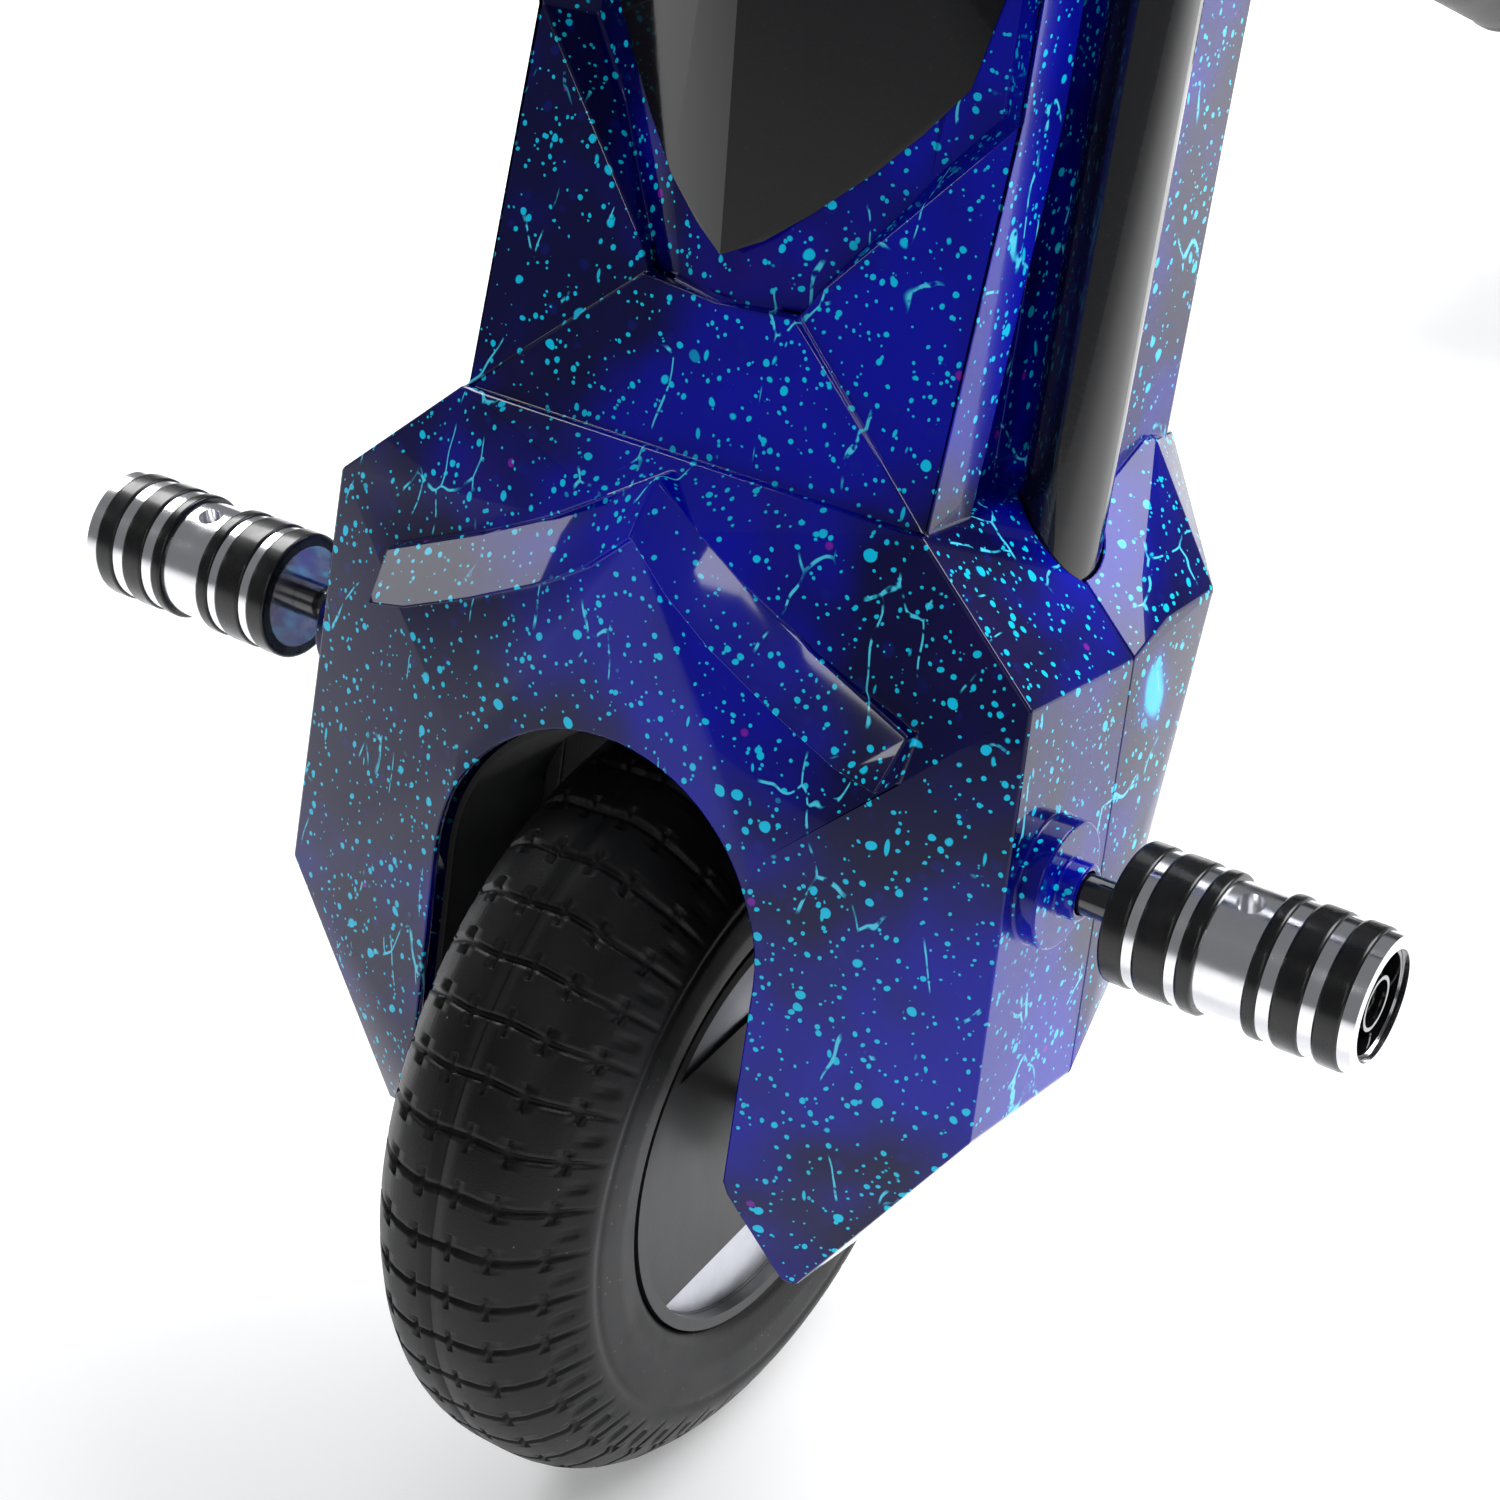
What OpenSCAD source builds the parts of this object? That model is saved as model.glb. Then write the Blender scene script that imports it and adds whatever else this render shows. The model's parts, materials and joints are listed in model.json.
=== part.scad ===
// Electric drift trike: steered front unit with hub-motor wheel, faired column and foot pegs,
// a backbone frame with a bucket seat, and two swivelling casters at the rear.
// +Z up, the trike faces -Y, left is the rider's left (+X), and the origin is on the ground at the
// centre of its outline.

/* [Front wheel] */
// Radius of the front tyre
tyre_r = 127.5; // [110:0.5:150]
// Width of the front tyre across its sidewalls
tyre_w = 74; // [62:1:86]
// Radius at which the tyre's bead sits on the rim
bead_r = 72; // [66:1:80]
// Radius of the wheel axle
axle_r = 6; // [5:0.5:7]

/* [Steering] */
// Lean of the steering axis from the vertical, in degrees
rake = 14; // [8:1:20]
// Distance of the steering axis behind the wheel centre, square to the axis
steer_v = 50; // [46:1:56]
// Spacing of the two fork tubes, centre to centre
tube_span = 174; // [172:1:180]
// Outside diameter of the fork tubes and of the handlebar tube
tube_d = 25.4; // [22:0.2:26]
// Length of the fork tubes above the bridge
tube_len = 380; // [330:5:440]
// Gap between the tyre and the fork bridge
bridge_gap = 24; // [20:1:40]

/* [Fairing] */
// Width of the lower fairing at its widest
cover_w = 248; // [240:1:300]
// Wall of the moulded covers
wall = 3; // [2.5:0.25:4]
// Width of the column above the shoulders
column_w = 156; // [136:1:164]
// Half width of the front wheel arch
arch_half = 57; // [54:1:66]

/* [Foot pegs] */
// Diameter of a peg over its rubber rings
peg_d = 41.2; // [34:0.2:48]
// Length of a peg
peg_len = 75; // [60:1:84]
// Distance from the centre plane to the inner end of a peg
peg_in = 148; // [146:1:180]

/* [Handlebar] */
// Width of the handlebar over its grips
bar_w = 500; // [440:5:600]
// Length of a grip
grip_len = 110; // [95:1:128]
// Diameter of a grip
grip_d = 32; // [30:0.5:36]

/* [Rear frame] */
// Distance from the front axle to the caster pivots
wheel_base = 1250; // [1180:10:1400]
// Distance from the front axle back to the middle of the seat
seat_reach = 780; // [760:5:860]
// Diameter of the backbone tube
backbone_d = 38; // [32:1:42]
// Height of the rear cross tube's centre
cross_z = 162; // [158:1:180]
// Spacing of the caster pivots
caster_span = 340; // [320:2:400]
// Radius of a caster wheel
caster_r = 45; // [40:1:50]
// Width of a caster wheel
caster_w = 30; // [26:1:34]
// Distance from a caster's pivot to its axle
caster_trail = 30; // [24:1:34]

/* [Seat] */
// Width of the seat shell
seat_w = 340; // [300:2:380]
// Depth of the seat pan
seat_d = 300; // [280:2:340]
// Height of the seat back above the pan
seat_back_h = 250; // [200:2:300]
// Height of the seat pan above the ground
seat_z = 330; // [320:1:350]

/* [Battery] */
// Length, width and height of the battery case
case_l = 150; // [120:2:160]
case_w = 170; // [150:2:190]
case_h = 62; // [54:1:66]

/* [Hidden] */
$fn = 72;

// Clearances
run_gap = 0.08;      // round running fits
fit_gap = 0.1;       // pieces of one body that sit in each other
air_gap = 0.7;       // stator to magnets

// Overall place of the parts along Y
seat_back_reach = seat_d / 2 + 34;
rear_reach = wheel_base + caster_trail + caster_r;
wheel_y = (tyre_r - rear_reach) / 2;
axle_z = tyre_r;
kingpin_y = wheel_y + wheel_base;
seat_y = wheel_y + seat_reach;

// Levels along the steering axis, measured from the wheel centre
bridge_lo = tyre_r + bridge_gap;
bridge_t = 8;
bridge_hi = bridge_lo + bridge_t;
shoulder_w = tyre_r + 50.5;
flange_w = shoulder_w + 37;
knee_w = tyre_r + 133.5;
column_top = bridge_hi + tube_len - 40;
arch_top = tyre_r + 7;
bend_w = 48;
foot_w = -20;
head_len = 96;
head_hi = column_top - 26;
head_lo = head_hi - head_len;
crown_t = 8;
crown_gap = 4;
crown_levels = [head_lo - crown_gap - crown_t, head_hi + crown_gap];
tube_top = bridge_hi + tube_len;
bar_level = tube_top + 4;

// Places across the steering axis
tube_r = tube_d / 2;
tube_x = tube_span / 2;
tube_v = 17;
seam_v = 12;
edge_v = -49;
panel_v = -56;
nose_v = -68;
cheek_v = -46;
cheek_back_v = -21.5;
cheek_lean = 15;
channel_depth = 12;
back_x = column_w / 2 + 12;
column_back_v = 85;
column_x = column_w / 2;
channel_x = column_x - channel_depth;
cover_x = cover_w / 2;
side_x = cover_x - 5;
foot_x = 77;

// Foot pegs
peg_v = -24.5;
peg_level = tyre_r - 5.5;
peg_r = peg_d / 2;
stud_r = 6;
boss_r = 19;
boss_x = cover_x + 4;
bracket_x = 104;
bracket_t = 6;
peg_bands = [6.7, 2.7, 9, 2.7, 4.5, 13.4, 4, 3.5, 7.6, 3.6, 6.7, 3.6];
peg_scale = peg_len / 68;

// Fork legs
leg_in = tyre_w / 2 + 10;
leg_t = 6;
leg_w = 38;

// Steering head
stem_r = 12;
head_r = 22;
head_wall = 3;
bearing_h = 9;

// Where the backbone starts on the steering axis
neck_w = (head_lo + head_hi) / 2;
head_point = raked_point(0, steer_v, neck_w);
cross_point = [0, kingpin_y - 34, cross_z];
cross_r = 17;
backbone_r = backbone_d / 2;
backbone_wall = 2.5;
bend_point = [0, seat_y - seat_d / 2 - 30, seat_z - 32];
neck_vec = bend_point - head_point;
backbone_vec = cross_point - bend_point;
backbone_len = norm(backbone_vec);
backbone_tilt = atan2(backbone_vec[2], backbone_vec[1]);
neck_tilt = atan2(neck_vec[2], neck_vec[1]);

caster_x = caster_span / 2;
plate_t = 6;
plate_z = cross_z - cross_r - 10;
swivel_gap = 1.5;
kingpin_r = 6;

// A point of the steered unit: x across, v behind and w along the steering axis
function raked_point(x, v, w) =
    [x, wheel_y + v * cos(rake) + w * sin(rake), axle_z - v * sin(rake) + w * cos(rake)];
// Height of the backbone's centre line behind its bend, at a place along Y
function backbone_z(y) = bend_point[2] + (y - bend_point[1]) * backbone_vec[2] / backbone_vec[1];
// Sum of the first n bands of a peg
function band_start(n) = n == 0 ? 0 : peg_bands[n - 1] * peg_scale + band_start(n - 1);

// Puts children drawn in x, v, w into the trike's frame
module raked() {
    translate([0, wheel_y, axle_z]) rotate([-rake, 0, 0]) children();
}

// A flat outline in x and w, drawn out from v0 to v1
module prism_v(v0, v1) {
    translate([0, v1, 0]) rotate([90, 0, 0]) linear_extrude(v1 - v0) children();
}

// A tube or disc about an axis along X
module disc_x(x0, x1, r, hole = 0) {
    translate([x0, 0, 0]) rotate([0, 90, 0]) difference() {
        cylinder(h = x1 - x0, r = r);
        if (hole > 0) translate([0, 0, -1]) cylinder(h = x1 - x0 + 2, r = hole);
    }
}

// A ring about an axis along Z
module ring_z(z0, z1, r, hole) {
    translate([0, 0, z0]) difference() {
        cylinder(h = z1 - z0, r = r);
        translate([0, 0, -1]) cylinder(h = z1 - z0 + 2, r = hole);
    }
}

module both_sides() {
    children();
    mirror([1, 0, 0]) children();
}

module box(x0, x1, y0, y1, z0, z1) {
    translate([x0, y0, z0]) cube([x1 - x0, y1 - y0, z1 - z0]);
}

// ---------- Front wheel ----------

module wheel_place() {
    translate([0, wheel_y, axle_z]) children();
}

// Half of the tyre's outline: radius against distance from the centre plane
tyre_half = tyre_w / 2;
shoulder_r = tyre_r - 27.5;
tyre_skin = 6;
module tyre_section(inset) {
    polygon([
        for (s = [-1, 1])
            for (k = [0 : 12])
                let (u = s < 0 ? -1 + k / 12 : k / 12)
                [tyre_r - inset - (tyre_r - shoulder_r) * pow(abs(u), 3), u * (tyre_half - 0.3 - inset)],
        [shoulder_r - 10, tyre_half - inset],
        [bead_r + 6, tyre_half - 4 - inset],
        [bead_r + inset * 0.5, tyre_half - 10 - inset],
        [bead_r + inset * 0.5, -tyre_half + 10 + inset],
        [bead_r + 6, -tyre_half + 4 + inset],
        [shoulder_r - 10, -tyre_half + inset]
    ]);
}

module turned() {
    rotate([0, 90, 0]) rotate_extrude() children();
}

module tyre() {
    color([0.06, 0.06, 0.065]) wheel_place() turned() difference() {
        tyre_section(0);
        tyre_section(tyre_skin);
    }
}

module inner_tube() {
    color([0.12, 0.12, 0.12]) wheel_place() turned() difference() {
        tyre_section(tyre_skin + 0.6);
        tyre_section(tyre_skin + 2.4);
    }
}

rim_r = bead_r - 0.3;
rim_half = tyre_half - 3;
magnet_r = 52;
stator_r = 46;
stator_half = 14;
cover_disc_t = 5;
cover_disc_x = rim_half - 9;
module rim_shell() {
    color([0.09, 0.09, 0.1]) wheel_place() {
        difference() {
            disc_x(-cover_disc_x, cover_disc_x, rim_r);
            disc_x(-rim_half, rim_half, magnet_r + 4);
        }
        difference() {
            disc_x(-18, 18, magnet_r + 4);
            disc_x(-20, 20, magnet_r + 0.1);
        }
    }
}

module magnet_ring() {
    color([0.35, 0.35, 0.38]) wheel_place() disc_x(-stator_half, stator_half, magnet_r, stator_r + air_gap);
}

// Dished side cover of the hub with two segment windows
bearing_out = 14;
module hub_cover() {
    difference() {
        union() {
            disc_x(cover_disc_x, cover_disc_x + cover_disc_t, rim_r);
            disc_x(cover_disc_x, rim_half, rim_r, rim_r - 4);
            disc_x(18, cover_disc_x, bearing_out + 4);
        }
        disc_x(10, rim_half + 1, axle_r + 1.5);
        disc_x(17, 26, bearing_out + fit_gap);
        for (a = [0, 180]) rotate([a, 0, 0]) hub_window_shape(0, cover_disc_t + 2);
    }
}

window_r = rim_r - 4.2;
window_chord = 41;
module hub_window_shape(inset, depth) {
    translate([cover_disc_x + cover_disc_t - 2.5, 0, 0]) rotate([0, 90, 0]) linear_extrude(depth)
        intersection() {
            circle(r = window_r - inset);
            translate([window_chord + inset, -window_r]) square([window_r, 2 * window_r]);
        }
}

module hub_cover_left() {
    color([0.07, 0.07, 0.075]) wheel_place() hub_cover();
}

module hub_cover_right() {
    color([0.07, 0.07, 0.075]) wheel_place() mirror([1, 0, 0]) hub_cover();
}

module hub_windows() {
    color([0.72, 0.73, 0.78]) wheel_place() both_sides()
        for (a = [0, 180]) rotate([a, 0, 0]) hub_window_shape(fit_gap, 1.5);
}

module wheel_bearings() {
    color([0.7, 0.7, 0.72]) wheel_place() both_sides()
        disc_x(18, 25, bearing_out, axle_r + run_gap);
}

module motor_stator() {
    color([0.75, 0.45, 0.2]) wheel_place() difference() {
        disc_x(-stator_half, stator_half, stator_r);
        disc_x(-stator_half - 1, stator_half + 1, axle_r + fit_gap);
        for (a = [0 : 20 : 340]) rotate([a, 0, 0])
            translate([-stator_half - 1, 22, -2]) cube([2 * stator_half + 2, 18, 4]);
    }
}

axle_half = leg_in + leg_t + 14;
module wheel_axle() {
    color([0.6, 0.6, 0.62]) wheel_place() disc_x(-axle_half, axle_half, axle_r);
}

module axle_nuts() {
    color([0.7, 0.7, 0.72]) raked() both_sides() difference() {
        translate([leg_in + leg_t, 0, 0]) rotate([0, 90, 0]) cylinder(h = 8, r = 10.5, $fn = 6);
        disc_x(leg_in, leg_in + leg_t + 20, axle_r + fit_gap);
    }
}

// ---------- Fork ----------

module fork_leg() {
    difference() {
        union() {
            box(leg_in, leg_in + leg_t, -leg_w / 2, leg_w / 2, 0, bridge_lo);
            disc_x(leg_in, leg_in + leg_t, leg_w / 2);
        }
        disc_x(leg_in - 1, leg_in + leg_t + 1, axle_r + fit_gap);
    }
}

module fork_leg_left() {
    color([0.05, 0.05, 0.05]) raked() fork_leg();
}

module fork_leg_right() {
    color([0.05, 0.05, 0.05]) raked() mirror([1, 0, 0]) fork_leg();
}

module fork_bridge() {
    color([0.05, 0.05, 0.05]) raked() translate([0, 0, bridge_lo]) linear_extrude(bridge_t)
        translate([-bracket_x - bracket_t, -44]) square([2 * (bracket_x + bracket_t), 74]);
}

module peg_brackets() {
    color([0.05, 0.05, 0.05]) raked() both_sides() difference() {
        box(bracket_x, bracket_x + bracket_t, peg_v - 18, peg_v + 30, peg_level - 20, bridge_lo);
        translate([0, peg_v, peg_level]) disc_x(bracket_x - 1, bracket_x + bracket_t + 1, stud_r + fit_gap);
    }
}

module fork_tubes() {
    color([0.04, 0.04, 0.04]) raked() both_sides() translate([tube_x, tube_v, 0])
        ring_z(bridge_hi, tube_top, tube_r, tube_r - 2);
}

module crown(level) {
    color([0.05, 0.05, 0.05]) raked() translate([0, 0, level]) difference() {
        linear_extrude(crown_t) hull() {
            both_sides() translate([tube_x, tube_v]) circle(r = tube_r + 5);
            translate([0, steer_v]) circle(r = 20);
        }
        both_sides() translate([tube_x, tube_v, -1]) cylinder(h = crown_t + 2, r = tube_r + fit_gap);
        translate([0, steer_v, -1]) cylinder(h = crown_t + 2, r = stem_r + fit_gap);
    }
}

module lower_crown() {
    crown(crown_levels[0]);
}

module upper_crown() {
    crown(crown_levels[1]);
}

stem_wall = 3;
stem_top = crown_levels[1] + crown_t;
module steering_stem() {
    color([0.5, 0.5, 0.52]) raked() translate([0, steer_v, 0]) {
        ring_z(crown_levels[0], stem_top, stem_r, stem_r - stem_wall);
        difference() {
            translate([0, 0, stem_top]) cylinder(h = 9, r = 17, $fn = 6);
            translate([0, 0, head_hi]) cylinder(h = 30, r = stem_r - stem_wall);
        }
    }
}

// ---------- Foot pegs ----------

module peg_place() {
    raked() translate([0, peg_v, peg_level]) children();
}

module peg_studs() {
    color([0.06, 0.06, 0.06]) peg_place() both_sides() {
        disc_x(bracket_x - 7, peg_in + peg_len - 22, stud_r);
        difference() {
            translate([bracket_x - 8, 0, 0]) rotate([0, 90, 0]) cylinder(h = 8, r = 10, $fn = 6);
            disc_x(bracket_x - 9, bracket_x + 1, stud_r);
        }
    }
}

// Machined core: lands that show between the rubber rings, and a deep socket in the outer end
module peg_core() {
    lands = [for (i = [1, 3, 5, 7, 9, 11]) i];
    difference() {
        union() {
            disc_x(peg_in, peg_in + peg_len, peg_r - 4);
            for (i = lands)
                disc_x(peg_in + band_start(i), peg_in + band_start(i + 1), peg_r - (i == 5 ? 1.6 : 0.7));
        }
        disc_x(peg_in - 1, peg_in + peg_len, stud_r + fit_gap);
        disc_x(peg_in + peg_len - 14, peg_in + peg_len + 1, peg_r - 4.5);
        translate([peg_in + (band_start(5) + band_start(6)) / 2, 0, 0])
            rotate([20, 0, 0]) translate([0, 0, peg_r - 6]) cylinder(h = 8, r = 4);
    }
}

module peg_core_left() {
    color([0.85, 0.85, 0.88]) peg_place() peg_core();
}

module peg_core_right() {
    color([0.85, 0.85, 0.88]) peg_place() mirror([1, 0, 0]) peg_core();
}

module peg_rings() {
    for (i = [0, 2, 4, 6, 8, 10])
        disc_x(peg_in + band_start(i), peg_in + band_start(i + 1), peg_r, peg_r - 4 + 0.05);
}

module peg_rings_left() {
    color([0.05, 0.05, 0.05]) peg_place() peg_rings();
}

module peg_rings_right() {
    color([0.05, 0.05, 0.05]) peg_place() mirror([1, 0, 0]) peg_rings();
}

// Moulded plug in the outer end: two rings joined by ribs on a disc
module peg_plugs() {
    end_x = peg_in + peg_len;
    socket_r = peg_r - 4.5 - fit_gap;
    color([0.05, 0.05, 0.05]) peg_place() both_sides() {
        disc_x(end_x - 14, end_x - 11, socket_r);
        disc_x(end_x - 11, end_x - 2, socket_r, socket_r - 1.2);
        disc_x(end_x - 11, end_x - 2, 8, 6.8);
        disc_x(end_x - 11, end_x - 4, 4, 2.6);
        for (a = [0 : 60 : 300]) rotate([a, 0, 0])
            box(end_x - 11, end_x - 4, 7.9, socket_r - 1.1, -0.5, 0.5);
    }
}

// ---------- Fairing ----------

// Outline of the lower fairing in x and w, drawn in by t
module lower_outline(t, wide = 0) {
    offset(delta = -t) polygon([
        [-foot_x, foot_w], [-cover_x - wide, bend_w], [-side_x - wide, shoulder_w], [-column_x, flange_w],
        [column_x, flange_w], [side_x + wide, shoulder_w], [cover_x + wide, bend_w], [foot_x, foot_w]
    ]);
}

// Side outline of the column's front cheeks in v and w, drawn in by t
column_foot = bridge_hi + 20;
module cheek_outline(t) {
    polygon([
        [cheek_v + t, column_foot], [cheek_v + t, flange_w], [cheek_v + cheek_lean + t, flange_w + 109],
        [cheek_v + cheek_lean + t, column_top - t], [cheek_back_v + cheek_lean - t, column_top - t],
        [cheek_back_v + cheek_lean - t, flange_w + 109], [cheek_back_v - t, flange_w],
        [cheek_back_v - t, column_foot]
    ]);
}

// Column in front of the seam: leaning cheeks and a narrower core beside the fork tubes
module column_front(t) {
    rotate([90, 0, 90]) translate([0, 0, -column_x + t]) linear_extrude(2 * (column_x - t)) cheek_outline(t);
    intersection() {
        box(-channel_x + t, channel_x - t, cheek_v, seam_v + t / 3, column_foot, column_top - t);
        rotate([90, 0, 90]) linear_extrude(400, center = true) polygon([
            [cheek_v + t, column_foot - 1], [cheek_v + t, flange_w],
            [cheek_v + cheek_lean + t, flange_w + 109], [cheek_v + cheek_lean + t, column_top + 1],
            [seam_v + 1, column_top + 1], [seam_v + 1, column_foot - 1]
        ]);
    }
}

// Column behind the seam, drawn in by t: a core and a wider back that hides the fork tubes
back_side = tube_v + tube_r + 6;
module column_back(t) {
    translate([0, 0, column_foot]) linear_extrude(column_top - column_foot - t) polygon([
        [-channel_x + t, seam_v - t / 3], [channel_x - t, seam_v - t / 3], [channel_x - t, back_side + t],
        [back_x - t, back_side + t], [back_x - t, column_back_v - 12],
        [back_x - 14 - t / 2, column_back_v - t],
        [-back_x + 14 + t / 2, column_back_v - t], [-back_x + t, column_back_v - 12],
        [-back_x + t, back_side + t], [-channel_x + t, back_side + t]
    ]);
}

// The front half's body, drawn in by t: side walls, nose panel, hood and column
module front_body(t) {
    prism_v(edge_v + t, seam_v + t / 3) lower_outline(t);
    hull() {
        prism_v(edge_v + t, edge_v + t + 0.5) lower_outline(t);
        prism_v(panel_v + t, panel_v + t + 0.5) offset(delta = -t)
            polygon([[-62, -16], [-90, 26], [-91, 160], [0, flange_w - 10], [91, 160], [90, 26], [62, -16]]);
        prism_v(nose_v + t, nose_v + t + 0.5) polygon([
            [-52, 6], [-52, arch_top - 20], [0, flange_w - 18], [52, arch_top - 20], [52, 6]
        ]);
    }
    hull() {
        prism_v(edge_v + t, edge_v + 20) polygon([
            [-side_x + 2 * t, shoulder_w], [side_x - 2 * t, shoulder_w],
            [side_x - 2 * t, shoulder_w - 4], [-side_x + 2 * t, shoulder_w - 4]
        ]);
        prism_v(-43 + t, edge_v + 20) polygon([
            [-26, knee_w - 3 - t], [-25, knee_w - t], [25, knee_w - t], [26, knee_w - 3 - t]
        ]);
    }
    column_front(t);
}

// V-shaped recess of the column that the visor sits in, with a slanting facet down each side, deepened by t
facet_turn = [0, 127.1, 38.3];
module bow_recess(t) {
    top = column_top + 5;
    out = column_x + 1;
    difference() {
        union() {
            prism_v(-90, seam_v - 8) polygon([
                [0, knee_w - 2], [25, knee_w], [40, knee_w + 24], [66, knee_w + 66], [out, knee_w + 84],
                [out, top], [-out, top], [-out, knee_w + 84], [-66, knee_w + 66], [-40, knee_w + 24],
                [-25, knee_w]
            ]);
            both_sides() intersection() {
                prism_v(-90, seam_v - 8) polygon([[24, knee_w], [out, knee_w], [out, top], [24, top]]);
                translate([25, -42, knee_w]) rotate(facet_turn)
                    translate([-200, -200, t - 200]) cube([400, 400, 200]);
            }
        }
        translate([0, 0, knee_w - 5]) linear_extrude(600) polygon([
            [0, -41 + t], [25, -35 + t], [50, -23.5 + t], [66, -18.6 + t], [column_x, -31.4 + t],
            [column_x + 2, -33 + t], [column_x + 2, 90], [-column_x - 2, 90], [-column_x - 2, -33 + t],
            [-column_x, -31.4 + t], [-66, -18.6 + t], [-50, -23.5 + t], [-25, -35 + t]
        ]);
    }
}

// Raised brow above the arch: a chevron with hollow curved arms
module brow_band() {
    crest = [[0, 84.5], [15, 74.5], [33, 63], [56, 51.5], [75, 43], [90, 36.5]];
    under = [[88, 21.5], [74, 24.5], [52, 34], [30, 45], [14, 55.5], [0, 68.5]];
    both_sides() prism_v(nose_v - 3, edge_v + 2)
        polygon([for (p = concat(crest, under)) [p[0], tyre_r + p[1]]]);
}

module arch_shape(t = 0) {
    translate([0, arch_top - arch_half]) circle(r = arch_half - t);
    translate([-arch_half + t, -60]) square([2 * (arch_half - t), arch_top - arch_half + 60]);
}

module arch_flare() {
    polygon([[-foot_x + 2, -60], [-foot_x + 4, foot_w], [-arch_half, 14],
             [arch_half, 14], [foot_x - 4, foot_w], [foot_x - 2, -60]]);
}

module tube_holes() {
    both_sides() translate([tube_x, tube_v, bridge_lo]) cylinder(h = 120, r = tube_r + 0.5);
}

// Slots that the crowns pass through on their way to the fork tubes
module crown_slots() {
    gap = 0.8;
    for (level = crown_levels) both_sides() {
        box(channel_x - wall - 2, cover_x, -2, back_side + 2.5, level - gap, level + crown_t + gap);
        box(channel_x - wall - 2, back_x - wall - 0.5, -2, steer_v + 14, level - gap, level + crown_t + gap);
    }
}

module front_cover() {
    color([0.02, 0.03, 0.45]) raked() difference() {
        union() {
            difference() {
                union() {
                    front_body(0);
                    brow_band();
                }
                bow_recess(0);
                difference() {
                    front_body(wall);
                    bow_recess(wall);
                }
            }
            both_sides() translate([0, peg_v, peg_level]) {
                disc_x(side_x - 1, boss_x, boss_r);
                disc_x(boss_x, boss_x + 6, stud_r + 2.5);
            }
        }
        prism_v(nose_v - 10, seam_v + 10) arch_shape();
        prism_v(nose_v - 10, seam_v + 10) arch_flare();
        tube_holes();
        crown_slots();
        translate([0, peg_v, peg_level]) disc_x(-boss_x - 12, boss_x + 12, stud_r + 0.4);
        box(-200, 200, seam_v, seam_v + 20, -100, 600);
    }
}

module rear_body(t) {
    hull() {
        prism_v(seam_v - t / 3, seam_v + 0.5) lower_outline(t);
        prism_v(seam_v + 18, seam_v + 19) offset(delta = -t) polygon([
            [-72, 4], [-cover_x + 1, 70], [-side_x, shoulder_w + 8], [-column_x, flange_w + 6],
            [column_x, flange_w + 6], [side_x, shoulder_w + 8], [cover_x - 1, 70], [72, 4]
        ]);
        prism_v(60 - t, 60.5 - t) offset(delta = -t) polygon([
            [-64, 44], [-side_x + 4, 118], [-side_x, shoulder_w + 10], [-back_x - 2, flange_w + 12],
            [back_x + 2, flange_w + 12], [side_x, shoulder_w + 10], [side_x - 4, 118], [64, 44]
        ]);
        prism_v(column_back_v - 0.5 - t, column_back_v - t) offset(delta = -t) polygon([
            [-62, 74], [-88, 130], [-88, shoulder_w + 14], [-back_x + 4, flange_w + 8],
            [back_x - 4, flange_w + 8], [88, shoulder_w + 14], [88, 130], [62, 74]
        ]);
    }
    column_back(t);
}

window_half = 54;
module rear_cover() {
    color([0.02, 0.1, 0.6]) raked() difference() {
        rear_body(0);
        rear_body(wall);
        prism_v(seam_v - 10, column_back_v + 10) arch_shape();
        prism_v(seam_v - 10, column_back_v + 10) arch_flare();
        tube_holes();
        crown_slots();
        screw_places() translate([0, 0, -20]) cylinder(h = 30, r = 2.2);
        box(-window_half, window_half, seam_v + 30, column_back_v + 10, head_lo + 14, head_hi - 4);
        box(-200, 200, seam_v - 20, seam_v, -100, 600);
    }
}

// Screws in the column's back panel
module screw_places() {
    for (x = [-66, 66], w = [column_foot + 120, column_top - 20])
        translate([x, column_back_v, w]) rotate([-90, 0, 0]) children();
}

module cover_screws() {
    color([0.2, 0.2, 0.2]) raked() screw_places() {
        cylinder(h = 2, r = 4.5);
        translate([0, 0, -10]) cylinder(h = 11, r = 2);
    }
}

// Glossy prow-shaped visor
visor_tip_w = knee_w + 11.6;
module visor_body(t) {
    w1 = column_top - 22;
    edge = [[0, -43.6, visor_tip_w], [11, -40, visor_tip_w + 6], [23, -37, visor_tip_w + 16],
            [37, -30.5, visor_tip_w + 30], [47, -26, visor_tip_w + 42], [57, -22, visor_tip_w + 56],
            [62, -21, visor_tip_w + 80], [62, -21, w1 - 30], [50, -25, w1]];
    ridge = [[0, -43.6, visor_tip_w], [0, -66, w1 - 18], [0, -60, w1]];
    hull() {
        for (p = edge, s = [-1, 1]) translate([s * p[0], p[1] + t, p[2]]) cube(0.02, center = true);
        for (p = ridge) translate([0, p[1] + t, p[2]]) cube(0.02, center = true);
    }
}

module visor() {
    color([0.03, 0.03, 0.03]) raked() difference() {
        intersection() {
            visor_body(0);
            bow_recess(-0.1);
        }
        visor_body(4);
    }
}

// Two slanting light bars that stand a little out of the visor
light_w = column_top - 92;
module light_bar(t) {
    both_sides() hull() {
        translate([12, -70, light_w]) cube([1, 60, 9 - 2 * t]);
        translate([50, -60, light_w + 20]) cube([1, 60, 9 - 2 * t]);
    }
}

module headlight() {
    color([0.95, 0.95, 0.9]) raked() difference() {
        intersection() {
            visor_body(4.1);
            light_bar(0);
            bow_recess(-0.3);
        }
        visor_body(7);
    }
}

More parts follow.
